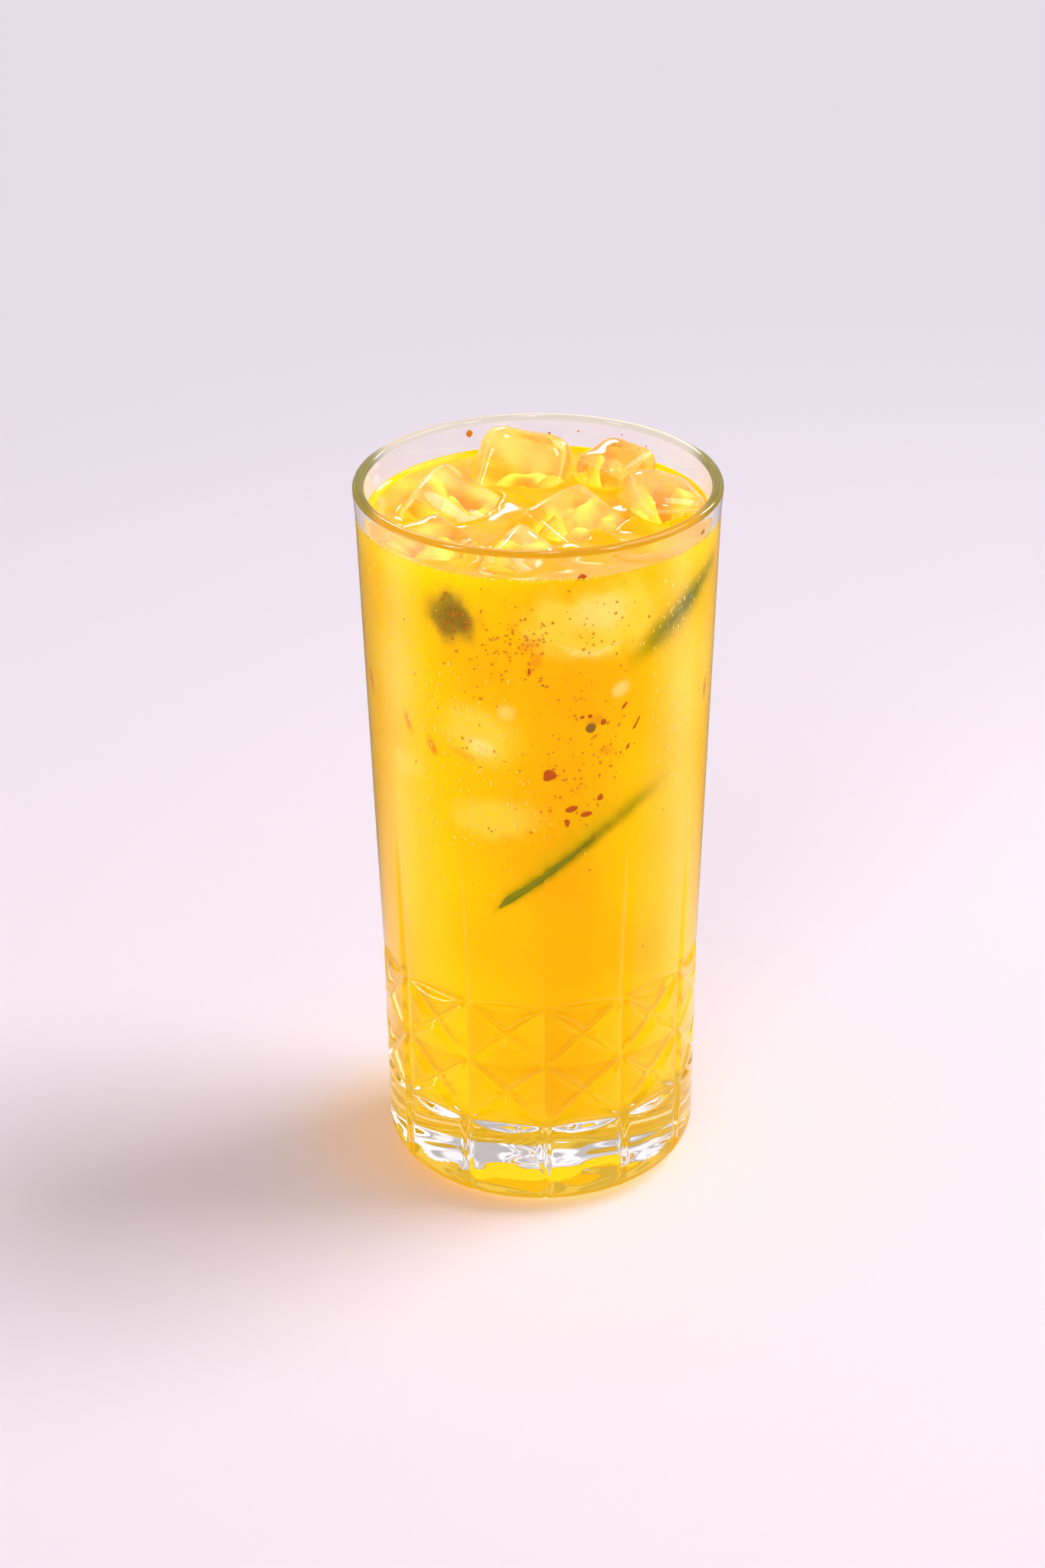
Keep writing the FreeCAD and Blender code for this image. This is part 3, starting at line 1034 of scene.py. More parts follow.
# ---- ice ----------------------------------------------------------------------------------------
@dataclass
class IceLump:
    """A lump of tray ice, melted round: a tapered block whose corners are eased by a power mean."""

    node: str
    centre: tuple[float, float, float]
    half: tuple[float, float, float]
    turns: tuple[float, float, float]
    seed: int
    taper: float = 0.10
    power: float = 12.0
    dents: float = 0.045
    fine_dents: float = 0.005
    swell: float = 1.05     # makes up for what the easing takes off the corners
    milk_and_painted_light: tuple[float, ...] = (0.0, 0.55, 0.3, 0.05, 0.2, 0.0)    # milky ice and painted light, of faces +x -x +y -y +z -z
    # painted highlight along the ridges
    painted_ridge_highlight: float = 0.4
    most_milk_and_light: float = 0.8
    headroom: float = 0.05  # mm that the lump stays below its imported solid's top
    rings: int = 90
    columns: int = 130

    def planes(self) -> tuple[np.ndarray, np.ndarray]:
        """The block's six faces, the upright ones leaning in by the taper.

        Returns:
            Their unit normals in the block's own frame, and their distances from its centre.
        """
        hx, hy, hz = self.half
        lean_x, lean_y = self.taper * hx / (2 * hz), self.taper * hy / (2 * hz)
        normals = np.array([[1, 0, lean_x], [-1, 0, lean_x], [0, 1, lean_y], [0, -1, lean_y],
                            [0, 0, 1], [0, 0, -1]], float)
        length = np.linalg.norm(normals, axis=1, keepdims=True)
        distances = self.swell * np.array([hx, hx, hy, hy, hz, hz])
        return normals / length, distances / length[:, 0]

    def reach(self, ways: np.ndarray) -> np.ndarray:
        """Distance from the centre to the surface.

        It is the power mean 1 / (sum of max(0, n.u / d) ** p) ** (1 / p) over the six faces,
        which is the sharp block for large p and rounds its edges for a smaller one, times a
        slow wave for melted dents.

        Args:
            ways: unit directions in the block's own frame.

        Returns:
            One distance for each direction.
        """
        normals, distances = self.planes()
        shares = np.clip(ways @ normals.T / distances, 0, None)
        sharp = 1 / (shares ** self.power).sum(axis=-1) ** (1 / self.power)
        return sharp * (1 + self.dents * waves(ways, 2.2, self.seed)
                        + self.fine_dents * waves(ways, 0.8, self.seed + 50))

    def milk_and_light_shares(self, points: np.ndarray) -> np.ndarray:
        """Share of milky ice and painted light at points: faces have theirs, ridges a highlight.

        Each face weighs in with its share of the power mean, raised to three times the power,
        so that the faces meet in narrow ridges, and its share fades from the top down.

        Args:
            points: the mesh's points.

        Returns:
            A share from 0 to 1 for each point.
        """
        local = self.in_block(points)
        ways = local / np.linalg.norm(local, axis=1, keepdims=True)
        normals, distances = self.planes()
        weights = np.clip(ways @ normals.T / distances, 1e-9, None)
        weights = (weights / weights.max(axis=1, keepdims=True)) ** (3 * self.power)
        weights /= weights.sum(axis=1, keepdims=True)
        ridge = np.clip(2 - 2 * weights.max(axis=1), 0, 1)
        low, high = points[:, 2].min(), points[:, 2].max()
        fade = np.clip((points[:, 2] - low) / (high - low) * 1.7 - 0.7, 0, 1)
        fade *= np.clip(0.7 + 0.45 * waves(points, 12.0, self.seed + 90), 0.1, 1.4)
        # painted light: each face's share, fading towards the bottom, and a painted highlight on
        # the ridges
        share = weights @ np.array(self.milk_and_painted_light) * fade + self.painted_ridge_highlight * ridge ** 2
        return share.clip(0, self.most_milk_and_light)

    def in_block(self, points: np.ndarray) -> np.ndarray:
        """Points in the block's own frame, turned back about its centre."""
        return (points - np.array(self.centre)) @ turn_matrix(self.turns)

    def fill(self, points: np.ndarray) -> np.ndarray:
        """How far out points lie, as a share of the surface's distance the same way.

        Args:
            points: the points, last axis x, y, z.

        Returns:
            Below 1 inside the lump and 1 on its surface.
        """
        local = self.in_block(points)
        distance = np.linalg.norm(local, axis=-1)
        return distance / self.reach(local / np.maximum(distance, 1e-6)[..., None])

    def surface(self) -> tuple[np.ndarray, np.ndarray, np.ndarray]:
        """The lump's closed surface over a grid of latitude and longitude.

        Returns:
            Vertices, quads and triangles.
        """
        latitude = np.linspace(-np.pi / 2, np.pi / 2, self.rings + 2)[1:-1, None]
        longitude = np.linspace(0, 2 * np.pi, self.columns, endpoint=False)[None, :]
        ways = np.stack(np.broadcast_arrays(
            np.cos(latitude) * np.cos(longitude), np.cos(latitude) * np.sin(longitude),
            np.sin(latitude)), -1)
        turn, centre = turn_matrix(self.turns), np.array(self.centre)

        def placed(way: np.ndarray) -> np.ndarray:
            """Surface points along ways, turned and placed."""
            return (way * self.reach(way)[..., None]) @ turn.T + centre

        return closed_grid(placed(ways), placed(np.array([[0, 0, -1.0]]))[0],
                           placed(np.array([[0, 0, 1.0]]))[0])

    def build(self, material: bpy.types.Material) -> bpy.types.Object:
        """Makes the lump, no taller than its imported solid, and lets it stand for that.

        Args:
            material: the ice, which all lumps share.

        Returns:
            The lump.
        """
        vertices, quads, triangles = self.surface()
        milk_and_painted_light = self.milk_and_light_shares(vertices)
        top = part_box(self.node)[1][2] / MM - self.headroom
        middle = self.centre[2]
        squeeze = min(1.0, (top - middle) / (vertices[:, 2].max() - middle))
        vertices[:, 2] = middle + (vertices[:, 2] - middle) * squeeze
        piece = mesh_piece(self.node + "_lump", vertices, quads, triangles, [material])
        point_colour(piece, "milk_and_painted_light", np.repeat(milk_and_painted_light[:, None], 3, axis=1))
        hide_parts(self.node)
        return piece


# ---- the drink ----------------------------------------------------------------------------------
def tint(colours: np.ndarray, shade: Shade, share: np.ndarray) -> None:
    """Moves colours towards a shade, in place, each by its own share."""
    colours += (shade_rgb(shade) - colours) * share[:, None]


@dataclass
class SunkPatch:
    """Something pale or dark that shows dimly through the juice behind the wall."""

    angle: float
    height: float
    half_width: float       # mm along the wall
    half_height: float
    tilt: float             # degrees, anticlockwise seen from outside
    shade: Shade
    strength: float
    edge: float = 0.5       # how much of it fades out, 1 is a pure haze
    rough: float = 0.05     # how uneven its outline is
    squareness: float = 2.4

    def amount(self, angle: np.ndarray, height: np.ndarray, radius: np.ndarray,
               ragged: np.ndarray) -> np.ndarray:
        """How strongly it shows: a squared-off oval, |u| ** p + |v| ** p = 1, with a hazy edge.

        Args:
            angle: angles of the points on the wall.
            height: their heights.
            radius: their radii.
            ragged: noise that frays the outline.

        Returns:
            A share for each point.
        """
        gap = (angle - self.angle + 180) % 360 - 180
        x, y = np.radians(gap) * radius, height - self.height
        c, s = math.cos(math.radians(self.tilt)), math.sin(math.radians(self.tilt))
        u = np.abs(x * c + y * s) / self.half_width
        v = np.abs(y * c - x * s) / self.half_height
        out = (u ** self.squareness + v ** self.squareness) ** (1 / self.squareness)
        out += self.rough * ragged
        return self.strength * np.clip((1 + self.edge / 2 - out) / self.edge, 0, 1) ** 1.5


@dataclass
class SunkBand:
    """A long thing that shows dimly through the juice, such as the rim of a cucumber slice."""

    stations: tuple[tuple[float, float, float, float], ...]  # angle, height, half width, strength
    shade: Shade
    lift: float = 0.0       # mm that the band lies above the stations
    wall_radius: float = 34.0   # at which the stations' runs are measured

    def amount(self, angle: np.ndarray, height: np.ndarray, radius: np.ndarray,
               ragged: np.ndarray) -> np.ndarray:
        """How strongly it shows: strength * exp(-(distance to the line / half width) ** 2).

        Args:
            angle: angles of the points on the wall.
            height: their heights.
            radius: their radii.
            ragged: noise that makes it uneven.

        Returns:
            A share for each point.
        """
        gap = (angle + 180) % 360 - 180
        best = np.zeros_like(height)
        knots = np.array(self.stations)
        for a, b in zip(knots[:-1], knots[1:]):
            x, y = np.radians(gap - a[0]) * radius, height - a[1] - self.lift
            run_x, run_y = math.radians(b[0] - a[0]) * self.wall_radius, b[1] - a[1]
            along = np.clip((x * run_x + y * run_y) / (run_x ** 2 + run_y ** 2), 0, 1)
            distance = np.hypot(x - along * run_x, y - along * run_y)
            width, strength = (a[k] + (b[k] - a[k]) * along for k in (2, 3))
            best = np.maximum(best, strength * np.exp(-(distance / width) ** 2))
        return best * (1 + 0.06 * ragged)


@dataclass
class Juice:
    """Mango juice up to its level, with its colours, meniscus and hollows round the ice."""

    tumbler: Tumbler
    level: float
    rise: float
    ice: list[IceLump]
    patches: list[SunkPatch | SunkBand]
    into_wall: float = 0.05
    columns: int = 360
    reach: float = 1.6
    hollow: float = 4.5     # depth of the hollow under a lump of ice
    climb: float = 0.9      # how far it climbs the ice
    deep_angle: float = 6.0    # where the painted colour is deepest, in degrees
    facet_shift: float = 0.9    # how far below a facet its painted light falls on the juice
    top_painted_shade: float = 0.9     # painted shade: share of its colour that the open surface keeps
    top_painted_amber: float = 0.75    # painted shade: how far the open surface turns to amber
    meniscus_shade_width: float = 0.45     # mm, half width of the painted darker line of shade at the upper edge
    skin: float = 1.2       # how near to the wall a point shows through the glass
    painted_light_base: float = 5.5    # mm above the floor up to which the juice is painted lighter

    def top_heights(self, x: np.ndarray, y: np.ndarray) -> np.ndarray:
        """Height of the free surface: rise at the wall and at the ice, ripples, hollows.

        Inside a lump's outline at the level the surface dips steeply, so that the lump is seen
        to sit in the drink.

        Args:
            x: places across.
            y: places to the back.

        Returns:
            One height for each place.
        """
        flat = np.stack([x, y, np.full_like(x, self.level)], -1)
        # low ripples and a slight sag, both of which die out within 8 mm of the wall
        inside = np.clip((self.tumbler.inner_radius(self.level) - np.hypot(x, y)) / 8, 0, 1)
        height = self.level + inside * (0.3 * waves(flat, 11.0, 5) - 0.5)
        for lump in self.ice:
            out = lump.fill(flat)
            climb = self.climb * np.exp(-np.clip(out - 1, 0, None) / 0.12)
            dip = self.hollow * np.clip((1 - out) / 0.35, 0, 1) ** 0.7 * (
                1 + 0.5 * waves(flat, 7.0, 15 + lump.seed))
            height = np.where(out < 1, height + self.climb - dip, height + climb)
        return height

    def drink_colours(self, points: np.ndarray) -> np.ndarray:
        """Colour at each point: the juice's colour, every sunk thing over it, and painted light and
        shade.

        Args:
            points: the mesh's points.

        Returns:
            Linear red, green and blue for each.
        """
        radius = np.hypot(points[:, 0], points[:, 1])
        angle = np.degrees(np.arctan2(points[:, 0], -points[:, 1]))
        height = points[:, 2]
        # painted light and shade: deepest in front and behind, palest at the sides between, a
        # little deeper again at the outline, with slow random changes of tone
        off_front = np.abs((angle - self.deep_angle + 180) % 360 - 180)
        off = np.minimum(off_front, 180 - off_front)
        side_light_and_drift = np.clip((off / 48) ** 1.2 + 0.15 * waves(points, 26.0, 11), 0, 1)
        side_light_and_drift = (side_light_and_drift * (1 - 0.4 * np.clip((off - 56) / 16, 0, 1)))[:, None]
        colour = shade_rgb(Shade.MANGO_DEEP) * (1 - side_light_and_drift) + shade_rgb(Shade.MANGO) * side_light_and_drift
        ragged = waves(points, 6.0, 3) + 0.5 * waves(points, 3.0, 4)
        near_wall = radius > self.tumbler.inner_radius(height) - self.skin
        for patch in self.patches:
            tint(colour, patch.shade, patch.amount(angle, height, radius, ragged) * near_wall)
        # painted light and shade for what the cuts bend on to the juice: how much, and how far that
        # goes to pale and to dark
        for light, pale, dark in (
                (self.tumbler.facet_tilt(angle, height + self.facet_shift), 0.45, 0.8),
                (self.tumbler.facet_light(angle, height + self.facet_shift), 0.4, 0.45)):
            tint(colour, Shade.MANGO_PALE, pale * light.clip(0, 1))
            tint(colour, Shade.FACET_SHADE, dark * (-light).clip(0, 1))
        # painted shade: a darker line along the juice's upper edge
        edge = np.exp(-((height - self.level - self.rise) / self.meniscus_shade_width) ** 2) * near_wall
        tint(colour, Shade.MENISCUS_PAINTED_SHADE, 0.6 * edge)
        self.colour_top(colour, points, ~near_wall & (height > self.level - self.hollow - 2))
        floor_z = self.tumbler.juice_floor
        # painted light: lighter towards the floor, over the shade of the lower corner
        tint(colour, Shade.MANGO, 0.9 * np.clip((floor_z + self.painted_light_base - height) / 3, 0, 1))
        return colour.clip(0, 1)

    def colour_top(self, colour: np.ndarray, points: np.ndarray, above: np.ndarray) -> None:
        """Paints shade and light on the open surface in place: amber, dark creases, pale under ice.

        Args:
            colour: linear colour of each point.
            points: the points.
            above: which of them lie on the open surface.
        """
        flat = np.column_stack([points[:, :2], np.full(len(points), self.level)])
        # painted shade: the open surface is darker
        colour[above] *= self.top_painted_shade
        # painted shade: the open surface turns amber, unevenly
        amber = np.clip(self.top_painted_amber + 0.35 * waves(flat, 12.0, 21), 0, 1)
        tint(colour, Shade.PAINTED_GAP_SHADE, amber * above)
        mottled = np.clip(0.6 + 0.8 * waves(points, 8.0, 13), 0, 1)
        for lump in self.ice:
            out = lump.fill(flat)
            # painted shade in the crease round each lump
            tint(colour, Shade.PAINTED_GAP_SHADE, 0.45 * np.exp(-((out - 1.04) / 0.07) ** 2) * above)
            # painted light: the juice under each lump is pale, mottled
            tint(colour, Shade.UNDER_ICE_PAINTED_LIGHT, np.clip((1.0 - out) / 0.15, 0, 1) * above * mottled)

    def build(self, side: CloudyJuice, top: CloudyJuice,
              bottom: CloudyJuice) -> bpy.types.Object:
        """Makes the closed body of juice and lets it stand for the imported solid.

        Args:
            side: the juice behind the wall.
            top: the open surface.
            bottom: the face on the thick base.

        Returns:
            The juice.
        """
        edge_z = self.level + self.rise
        angles = np.arange(self.columns) * 360 / self.columns
        heights = np.concatenate([
            np.linspace(edge_z, 52.5, 126), np.linspace(52.0, self.tumbler.juice_floor + 7, 54)])
        profile = self.tumbler.inner_profile(self.into_wall, heights)[::-1]
        floor = run_points((self.tumbler.middle_radius, self.tumbler.juice_floor - self.into_wall),
                           tuple(profile[0]), 9)
        side_profile = np.vstack([floor[:-1], profile])
        side_rings = around(side_profile[:, 0:1], angles[None, :], side_profile[:, 1:2])
        edge_r = side_profile[-1, 0]
        inward = np.concatenate([np.linspace(0.15, self.reach, 7),
                                 np.linspace(self.reach + 0.5, edge_r - 0.4, 52)])
        radii = (edge_r - inward)[:, None]
        top_points = around(radii, angles[None, :], np.array(self.level))
        curl = self.rise * np.clip(1 - inward / self.reach, 0, 1)[:, None] ** 2
        top_points[..., 2] = np.maximum(
            self.top_heights(top_points[..., 0], top_points[..., 1]), 0) + curl
        rings = np.concatenate([side_rings, top_points])
        vertices, quads, triangles = closed_grid(
            rings, np.array([0, 0, side_profile[0, 1]]),
            np.array([0, 0, float(top_points[-1, :, 2].mean())]))
        # slots: 0 behind the wall, 1 for the open surface and 2 on the base
        on_top = (np.arange(len(quads)) // self.columns) >= len(side_rings) - 1
        under = (np.arange(len(quads)) // self.columns) < len(floor)
        slots = np.concatenate([on_top + 2 * under, np.full(self.columns, 2),
                                np.ones(self.columns)])
        piece = mesh_piece("juice_body", vertices, quads, triangles,
                           [side.material(), top.material(), bottom.material()], slots)
        point_colour(piece, "drink", self.drink_colours(vertices))
        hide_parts("juice")
        return piece


# ---- bits in the juice --------------------------------------------------------------------------
@dataclass
class WallBits:
    """Small scraps pressed against the inside of the glass, joined into one mesh."""

    name: str
    tumbler: Tumbler
    finish: WetBit | ClearBody
    rings: int = 5
    columns: int = 10
    proud: float = 0.16     # how far a bit presses into the wall's surface

    def build(self, angle: np.ndarray, height: np.ndarray, half_width: np.ndarray,
              half_height: np.ndarray, tilt: np.ndarray, seed: int,
              ragged: float = 0.18) -> bpy.types.Object:
        """Makes one flattened, ragged pebble at each place.

        A pebble is a sphere of latitude and longitude squashed to its two half sizes, its
        outline pushed in and out by noise, bent round the wall and sunk to a thin cap.

        Args:
            angle: angles round the glass, in degrees.
            height: heights on the wall.
            half_width: half sizes along the wall.
            half_height: half sizes up the wall.
            tilt: turns in the wall's surface, in degrees.
            seed: which noise.
            ragged: how uneven the outlines are.

        Returns:
            The joined piece.
        """
        latitude = np.linspace(-np.pi / 2, np.pi / 2, self.rings + 2)
        longitude = np.linspace(0, 2 * np.pi, self.columns, endpoint=False)
        ring_x = np.cos(latitude[1:-1, None]) * np.cos(longitude)
        ring_y = np.cos(latitude[1:-1, None]) * np.sin(longitude)
        ring_d = np.broadcast_to(np.sin(latitude[1:-1, None]), ring_x.shape)
        unit = np.vstack([[0, 0, -1], np.stack([ring_x, ring_y, ring_d], -1).reshape(-1, 3),
                          [0, 0, 1]])
        count, each = len(angle), len(unit)
        rng = np.random.default_rng(seed)
        shift = rng.uniform(-40, 40, (count, 1, 3))
        swell = 1 + ragged * waves(unit[None] + shift, 1.6, seed)
        u = unit[None, :, 0] * swell * half_width[:, None]
        v = unit[None, :, 1] * swell * half_height[:, None]
        c, s = (f(np.radians(tilt))[:, None] for f in (np.cos, np.sin))
        x, y = u * c - v * s, u * s + v * c
        z = height[:, None] + y
        wall = self.tumbler.inner_radius(z)
        thick = np.minimum(0.6 * np.minimum(half_width, half_height)[:, None], 2.2 * self.proud)
        points = around(wall + unit[None, :, 2] * thick - thick + self.proud,
                        angle[:, None] + np.degrees(x / wall), z)
        _, quads, triangles = closed_grid(
            np.zeros((self.rings, self.columns, 3)), np.zeros(3), np.zeros(3))
        offsets = (np.arange(count) * each)[:, None, None]
        return mesh_piece(self.name, points.reshape(-1, 3), (quads + offsets).reshape(-1, 4),
                          (triangles + offsets).reshape(-1, 3),
                          [self.finish.material()])


@dataclass
class RindLine:
    """The dark edge of a cucumber slice where it touches the wall: a ribbon along a curve."""

    name: str
    tumbler: Tumbler
    stations: tuple[tuple[float, float, float], ...]    # angle, height, half width
    proud: float = 0.12

    def build(self, finish: WetBit) -> bpy.types.Object:
        """Carries a flat lens section along a smooth line through the stations on the wall.

        Args:
            finish: the peel.

        Returns:
            The ribbon.
        """
        knots = np.array(self.stations)
        place = np.linspace(0, len(knots) - 1, 90)
        smooth = [np.interp(place, np.arange(len(knots)), knots[:, k]) for k in range(3)]
        kernel = np.hanning(15) / np.hanning(15).sum()     # rounds the corners at the stations
        angle, height, half = (np.convolve(np.pad(c, 7, mode="edge"), kernel, "valid")
                               for c in smooth)
        radius = self.tumbler.inner_radius(height)
        x = np.radians(angle) * radius
        along = np.stack([np.gradient(x), np.gradient(height)], 1)
        along /= np.linalg.norm(along, axis=1, keepdims=True)
        turn = np.linspace(0, 2 * np.pi, 12, endpoint=False)
        side = half[:, None] * np.cos(turn) * (1 + 0.12 * np.sin(place * 2.1))[:, None]
        deep = np.sin(turn)[None, :] * self.proud
        z = height[:, None] + side * along[:, 0:1]
        wall = self.tumbler.inner_radius(z)
        a = angle[:, None] - np.degrees(side * along[:, 1:2] / wall)
        points = around(wall + deep, a, z)
        vertices, quads, triangles = closed_grid(points, points[0].mean(axis=0),
                                                 points[-1].mean(axis=0))
        return mesh_piece(self.name, vertices, quads[:, ::-1], triangles[:, ::-1],
                          [finish.material()])


# ---- the stage ----------------------------------------------------------------------------------
class LampRole(Enum):
    """What a lamp is there for."""

    LEVEL = "light without a mirror image"
    SPARKLE = "a mirror image without light"
    BOTH = "light and mirror image"


# name, place and size in metres, watts, role: three soft boxes that light the scene, then small
# bright panes that wet ice and cut glass mirror
LAMPS = (
    ("key", (1.00, 0.27, 1.36), (0.9, 0.9), 22.5, LampRole.BOTH),
    ("fill", (-1.2, -4.4, 1.4), (2.6, 1.8), 121.0, LampRole.LEVEL),
    ("left_card", (-0.75, -0.1, 0.12), (0.3, 0.2), 1.2, LampRole.BOTH),
    ("pane_right", (0.55, -0.35, 0.95), (0.11, 0.26), 3.6, LampRole.SPARKLE),
    ("pane_left", (-0.60, -0.30, 0.80), (0.09, 0.30), 4.0, LampRole.SPARKLE),
    ("pane_back", (-0.15, 0.80, 0.75), (0.34, 0.12), 5.4, LampRole.SPARKLE),
    ("pane_back_right", (0.60, 0.60, 0.55), (0.13, 0.24), 3.8, LampRole.SPARKLE),
    ("pane_over", (0.05, -0.10, 1.20), (0.13, 0.13), 3.6, LampRole.SPARKLE),
    ("pane_front", (-0.30, -1.10, 0.62), (0.10, 0.30), 0.6, LampRole.SPARKLE),
)


@dataclass
class Studio:
    """Pale floor, soft lamps and the camera at its viewing angle."""

    lens: float = 96.7
    sensor: float = 36.0
    camera_back: float = 819.3
    camera_up: float = 495.7
    pitch: float = 26.447
    yaw: float = -0.2555
    roll: float = -0.383
    floor_half: float = 4.0     # metres
    aim_height: float = 0.07    # metres: where the lamps point
    sky: float = 0.38
    sky_colour: str = "#FBF7FC"
    mirrored_colour: str = "#F8F0FB"
    panel_scale: float = 3.6    # of the bright and dark panels that glass mirrors,
    panel_noise: tuple[float, float] = (0.42, 0.55)     # the noise that parts them
    panel_light: tuple[float, float] = (0.25, 1.25)     # and how dark and bright they are
    front_to_back: tuple[float, float] = (-0.35, 0.15)  # where the surround turns from dim,
    front_light: float = 0.12   # which is this, to full
    seen_through: float = 0.62  # least light of the surround seen through glass

    def add_floor(self) -> None:
        """A large flat plate just under the foot."""
        side = self.floor_half
        mesh = bpy.data.meshes.new("table")
        mesh.from_pydata([(-side, -side, 0), (side, -side, 0), (side, side, 0), (-side, side, 0)],
                         [], [(0, 1, 2, 3)])
        mesh.materials.append(PaleFloor().material())
        floor = bpy.data.objects.new("table", mesh)
        bpy.context.scene.collection.objects.link(floor)

    def add_camera(self) -> None:
        """Camera that looks down at the glass, built from its three axes."""
        p, y, r = (math.radians(a) for a in (self.pitch, self.yaw, self.roll))
        ahead = np.array([math.sin(y) * math.cos(p), math.cos(y) * math.cos(p), -math.sin(p)])
        right = np.array([math.cos(y), -math.sin(y), 0.0])
        up = np.cross(right, ahead)
        across = math.cos(r) * right + math.sin(r) * up
        upright = math.cos(r) * up - math.sin(r) * right
        axes = Matrix(np.stack([across, upright, -ahead], 1).tolist())
        data = bpy.data.cameras.new("camera")
        data.lens, data.sensor_width = self.lens, self.sensor
        data.clip_start, data.clip_end = 0.05, 50.0
        camera = bpy.data.objects.new("camera", data)
        camera.location = (0.0, -self.camera_back * MM, self.camera_up * MM)
        camera.rotation_euler = axes.to_euler()
        bpy.context.scene.collection.objects.link(camera)
        bpy.context.scene.camera = camera

    def add_lamp(self, name: str, place: tuple[float, float, float], size: tuple[float, float],
                 power: float, role: LampRole) -> None:
        """A soft box that faces the middle of the glass.

        Args:
            name: the lamp's name.
            place: where it hangs, in metres.
            size: its two sides, in metres.
            power: in watts.
            role: what it is there for.
        """
        data = bpy.data.lights.new(name, "AREA")
        data.shape, data.size, data.size_y = "RECTANGLE", *size
        data.energy = power
        lamp = bpy.data.objects.new(name, data)
        lamp.visible_glossy = role is not LampRole.LEVEL
        lamp.visible_transmission = role is LampRole.BOTH
        lamp.visible_camera = False
        lamp.visible_diffuse = role is not LampRole.SPARKLE
        lamp.location = place
        aim = Vector((0, 0, self.aim_height)) - lamp.location
        lamp.rotation_euler = aim.to_track_quat("-Z", "Y").to_euler()
        bpy.context.scene.collection.objects.link(lamp)

    def add_world(self) -> None:
        """An even pale surround for light, with soft bright and dark panels for what mirrors."""
        world = bpy.data.worlds.new("surround")
        world.use_nodes = True
        world.node_tree.nodes.clear()
        path = add_node(world, "ShaderNodeLightPath").outputs
        way = add_node(world, "ShaderNodeTexCoord").outputs["Generated"]
        panels = add_node(world, "ShaderNodeTexNoise", {
            "Vector": way, "Scale": self.panel_scale, "Detail": 1.0}).outputs["Fac"]
        glow = ramp(world, panels, *self.panel_noise, *self.panel_light)
        back = add_node(world, "ShaderNodeSeparateXYZ", {0: way}).outputs["Y"]
        behind = ramp(world, back, *self.front_to_back, low=self.front_light)
        through = path["Is Transmission Ray"]
        level = calculate(
            world, "MULTIPLY",
            calculate(world, "MAXIMUM", glow,
                      calculate(world, "MULTIPLY", through, self.seen_through)),
            calculate(world, "MAXIMUM", behind, through))
        even, mirrored, plain = (
            add_node(world, "ShaderNodeBackground", {
                "Color": rgba(colour), "Strength": strength}).outputs[0]
            for colour, strength in ((self.sky_colour, self.sky), (self.mirrored_colour, level),
                                     (BACKDROP, 1.0)))
        lights = calculate(world, "GREATER_THAN", path["Diffuse Depth"], 0.5)
        seen = blend_surface(world, path["Is Camera Ray"],
                             blend_surface(world, lights, mirrored, even), plain)
        add_node(world, "ShaderNodeOutputWorld", {"Surface": seen})
        bpy.context.scene.world = world

    def build(self) -> None:
        """Sets up everything that isn't part of the object."""
        self.add_floor()
        self.add_camera()
        self.add_world()
        for name, place, size, power, role in LAMPS:
            self.add_lamp(name, place, size, power, role)
        bpy.context.scene.view_settings.view_transform = "Standard"


